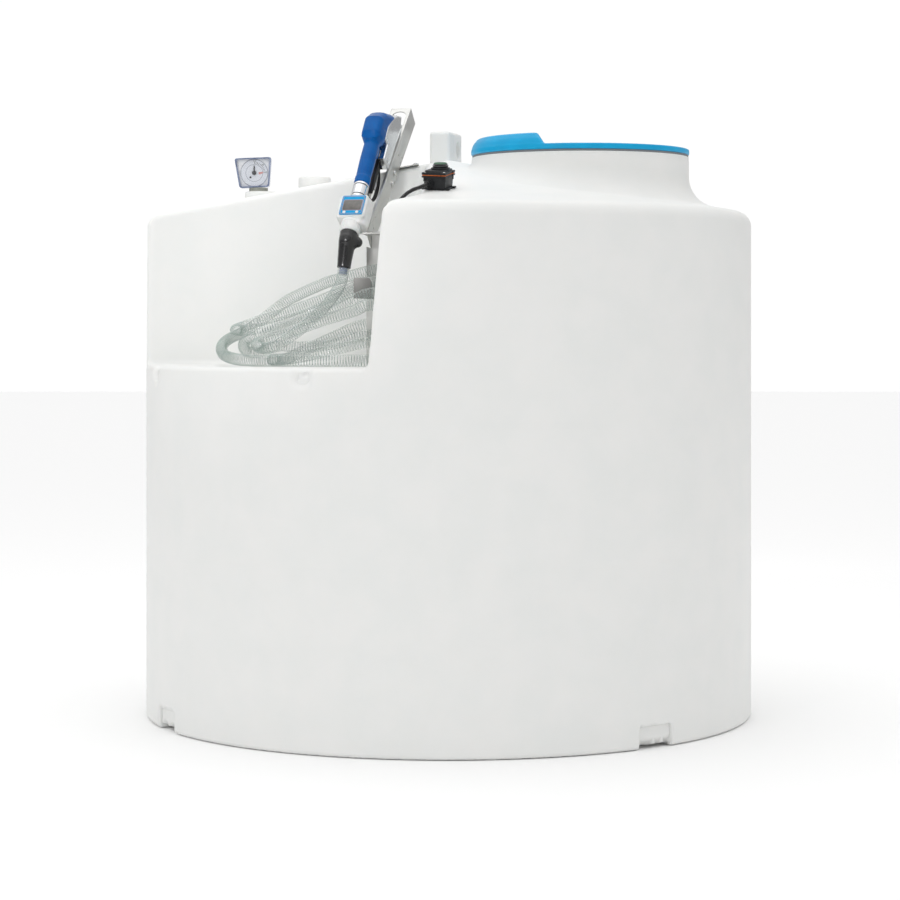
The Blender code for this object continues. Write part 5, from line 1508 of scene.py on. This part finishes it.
film = flat_piece(plate_outline(-0.0255, 0.0285, -0.0265, 0.0265, 0.0035), 0.0002, 0.0020, FACE, 0.0004)
piece("meter_film", film, face_blue, stands_for=["meter_face"], smooth=32)
lines = together(printed_line(-0.0238, 0.0268, -0.0245, 0.0245, 0.0032, 0.0009, 0.0019, 0.00215),
                 printed_line(-0.0206, 0.0246, -0.0158, 0.0146, 0.0030, 0.0010, 0.0019, 0.0022))
piece("meter_film_lines", lines, copper, smooth=32)
window = flat_piece(plate_outline(-0.0192, 0.0232, -0.0144, 0.0132, 0.0022), 0.0019, 0.0023, FACE, 0.0002)
piece("meter_screen", window, screen, smooth=32)
button = [(0, 0.0019), (0.0036, 0.0019), (0.0037, 0.0023), (0.0032, 0.0028), (0.0018, 0.0031), (0, 0.0031)]
buttons = [lathe(button, FACE @ Matrix.Translation((x, -0.0203, 0)), 32) for x in (-0.0140, 0.0160)]
piece("meter_buttons", together(*buttons), acetal, smooth=50)
nut = [(0, NUT_END), (0.0200, NUT_END), (0.0215, NUT_END + 0.0010), (0.0222, NUT_END + 0.0030),
       (0.0222, NUT_TOP - 0.0076), (0.0230, NUT_TOP - 0.0066), (0.0230, NUT_TOP - 0.0011), (0.0222, NUT_TOP),
       (0, NUT_TOP)]
piece("nut_moulding", lathe(nut, NOZZLE, 72), acetal, stands_for=["coupling_nut"], smooth=32)
ribs = marks(NOZZLE @ Matrix.Translation((0, 0, NUT_END + 0.0130)), acetal, Count=20, Radius=0.0220,
             Long=0.0020, Wide=0.0036, High=0.0195, From=0.1, Step=math.pi / 10)
piece("nut_ribs", ribs, acetal, smooth=None)
print("meter faces", len(meter.data.polygons))

# %% [markdown]
# ## The boot and the outlet
# A glossy rubber boot is pulled over the joint of meter and hose. It bends down into the bay, narrows,
# and ends in a bead. The round lug on its side grows out of it with a fillet, so it is a distance again.
# Low in the bay the hose meets the tank again at a black outlet: a tapered body with ribs, on a flange.

# %% Boot and outlet
boot_line = [NOZZLE @ Vector((0, 0, NUT_END - 0.0003 - d)) for d in (0, 0.012, 0.020)] + BOOT_ROUTE
BOOT_RINGS = 16
boot_path = np.array(catmull(boot_line, BOOT_RINGS))
boot_radii = np.linspace(0.0208, 0.0146, BOOT_RINGS) + 0.0008 * np.exp(
    -((np.arange(BOOT_RINGS) - BOOT_RINGS + 1) / 0.8) ** 2)
boot_ends = [(np.array(boot_line[0]), np.array(NOZZLE.to_3x3() @ Vector((0, 0, 1)))),
             (np.array(BOOT_ROUTE[-1]), np.array(down))]
LUG_FROM, LUG_TO = np.array((-0.2228, -0.3010, 1.0800)), np.array((-0.2020, -0.3010, 1.0775))


def bar_distance(p, a, b, first, last):
    """Distance to a round bar between two points, with a radius at each."""
    share = np.clip(((p - a) @ (b - a)) / ((b - a) @ (b - a)), 0, 1)
    return np.linalg.norm(p - a - share[..., None] * (b - a), axis=-1) - first - (last - first) * share


def boot_form(p):
    """The tapering tube along its path, its ends cut flat, with the lug."""
    form = bar_distance(p, 2 * boot_path[0] - boot_path[1], boot_path[0], boot_radii[0], boot_radii[0])
    for a, b, first, last in zip(boot_path, boot_path[1:], boot_radii, boot_radii[1:]):
        form = np.minimum(form, bar_distance(p, a, b, first, last))
    for place, out in boot_ends:
        form = round_and(form, (p - place) @ out, 0.0015)
    return round_or(form, bar_distance(p, LUG_FROM, LUG_TO, 0.0135, 0.0115), 0.008)


boot_low, boot_high = boot_path.min(axis=0) - 0.026, boot_path.max(axis=0) + (0.042, 0.026, 0.026)
boot = piece("boot_moulding", joined((skin_of(boot_form, boot_low, boot_high, 0.0017), 1)), rubber,
             smooth=None, stands_for=["hose_boot"])
outlet_at = Matrix.Translation(OUTLET) @ INTO_BAY.to_track_quat("Z", "Y").to_matrix().to_4x4()
END = OUTLET_LENGTH
fitting = [(0, END), (0.0125, END), (0.0155, END - 0.0012), (0.0162, END - 0.004), (0.0165, END - 0.010),
           (0.0158, END - 0.011), (0.0165, 0.030), (0.0168, 0.0225), (0.0205, 0.0220), (0.0210, 0.0205),
           (0.0210, 0.0070), (0.0250, 0.0058), (0.0260, 0.0045), (0.0260, 0.0006), (0, 0.0006)]
piece("outlet_moulding", lathe(fitting, outlet_at, 60), black, stands_for=["hose_outlet"], smooth=32)
ribs = marks(outlet_at @ Matrix.Translation((0, 0, 0.0140)), black, Count=16, Radius=0.0208, Long=0.0018,
             Wide=0.0030, High=0.0120, From=0.0, Step=math.pi / 8)
piece("outlet_ribs", ribs, black, smooth=None)
print("boot faces", len(boot.data.polygons))

# %% [markdown]
# ## Studio
# A product photograph cut out on white: a lit backdrop behind the object, a bright ceiling, and a
# darker room behind the camera, which gives the white walls their tone. The world's direction says how
# bright it is: a Separate XYZ node splits it, the height goes from a dim horizon to a bright ceiling,
# the right side is a little darker than the left, and a cone straight ahead is the white backdrop. Two
# broad lights, one high on the left and one overhead, and a tall strip give the highlights.

# %% Floor and lights
floor_form = bmesh.new()
bmesh.ops.create_grid(floor_form, x_segments=2, y_segments=2, size=30)
bmesh.ops.translate(floor_form, vec=(0, 0, -0.0005), verts=floor_form.verts)
floor = linked("studio_floor", mesh_of(floor_form, "studio_floor"))
floor.data.materials.append(start("studio_paper_white", "FFFFFF", 0.9)[0])

world = bpy.data.worlds.new("studio")
bpy.context.scene.world = world
world.use_nodes = True
tree = world.node_tree
way = add(tree, "ShaderNodeSeparateXYZ", Vector=add(tree, "ShaderNodeTexCoord").outputs["Generated"])
ceiling = add(tree, "ShaderNodeMapRange", {"To Min": 0.34, "To Max": 1.42}, Value=way.outputs["Z"])
sides = add(tree, "ShaderNodeMapRange", {"From Min": -1.0, "To Min": 0.93, "To Max": 0.85},
            Value=way.outputs["X"])
room = add(tree, "ShaderNodeMath", {"operation": "MULTIPLY"}, n0=ceiling.outputs[0], n1=sides.outputs[0])
backdrop = add(tree, "ShaderNodeMapRange", {"From Min": 0.88, "From Max": 0.96}, Value=way.outputs["Y"])
light = add(tree, "ShaderNodeMix", {"data_type": "FLOAT", 3: 1.02}, n0=backdrop.outputs[0],
            n2=room.outputs[0])
tree.links.new(light.outputs[0], tree.nodes["Background"].inputs["Strength"])
tree.nodes["Background"].inputs["Color"].default_value = (1, 1, 1, 1)


def lamp(name, kind, watts, place, target):
    """A light at a place, turned to a target."""
    made = linked(name, bpy.data.lights.new(name, kind))
    made.data.energy = watts
    made.location = place
    made.rotation_euler = (Vector(target) - Vector(place)).to_track_quat("-Z", "Y").to_euler()
    return made.data


for name, watts, size, place, target in (
        ("key_left", 10, (2.2, 2.2), (-2.2, -5.0, 3.8), (0, 0, 0.8)),
        ("top", 24, (4.0, 4.0), (-0.2, 0.2, 4.4), (0, 0, 1.0)),
        ("strip_left", 6, (0.25, 2.2), (-1.9, -4.2, 1.3), (-0.2, -0.3, 1.1))):
    panel = lamp(name, "AREA", watts, place, target)
    panel.shape = "RECTANGLE"
    panel.size, panel.size_y = size

# A spot with a large soft face brightens the bay, the nozzle and the lug, which stand in their own shade
spot = lamp("bay_spot", "SPOT", 400, (-1.6, -3.2, 2.6), (-0.30, -0.05, 1.07))
spot.spot_size, spot.spot_blend, spot.shadow_soft_size = math.radians(9.2), 0.7, 0.45
bpy.context.scene.view_settings.view_transform = "Standard"
print("lights", len(bpy.data.lights))
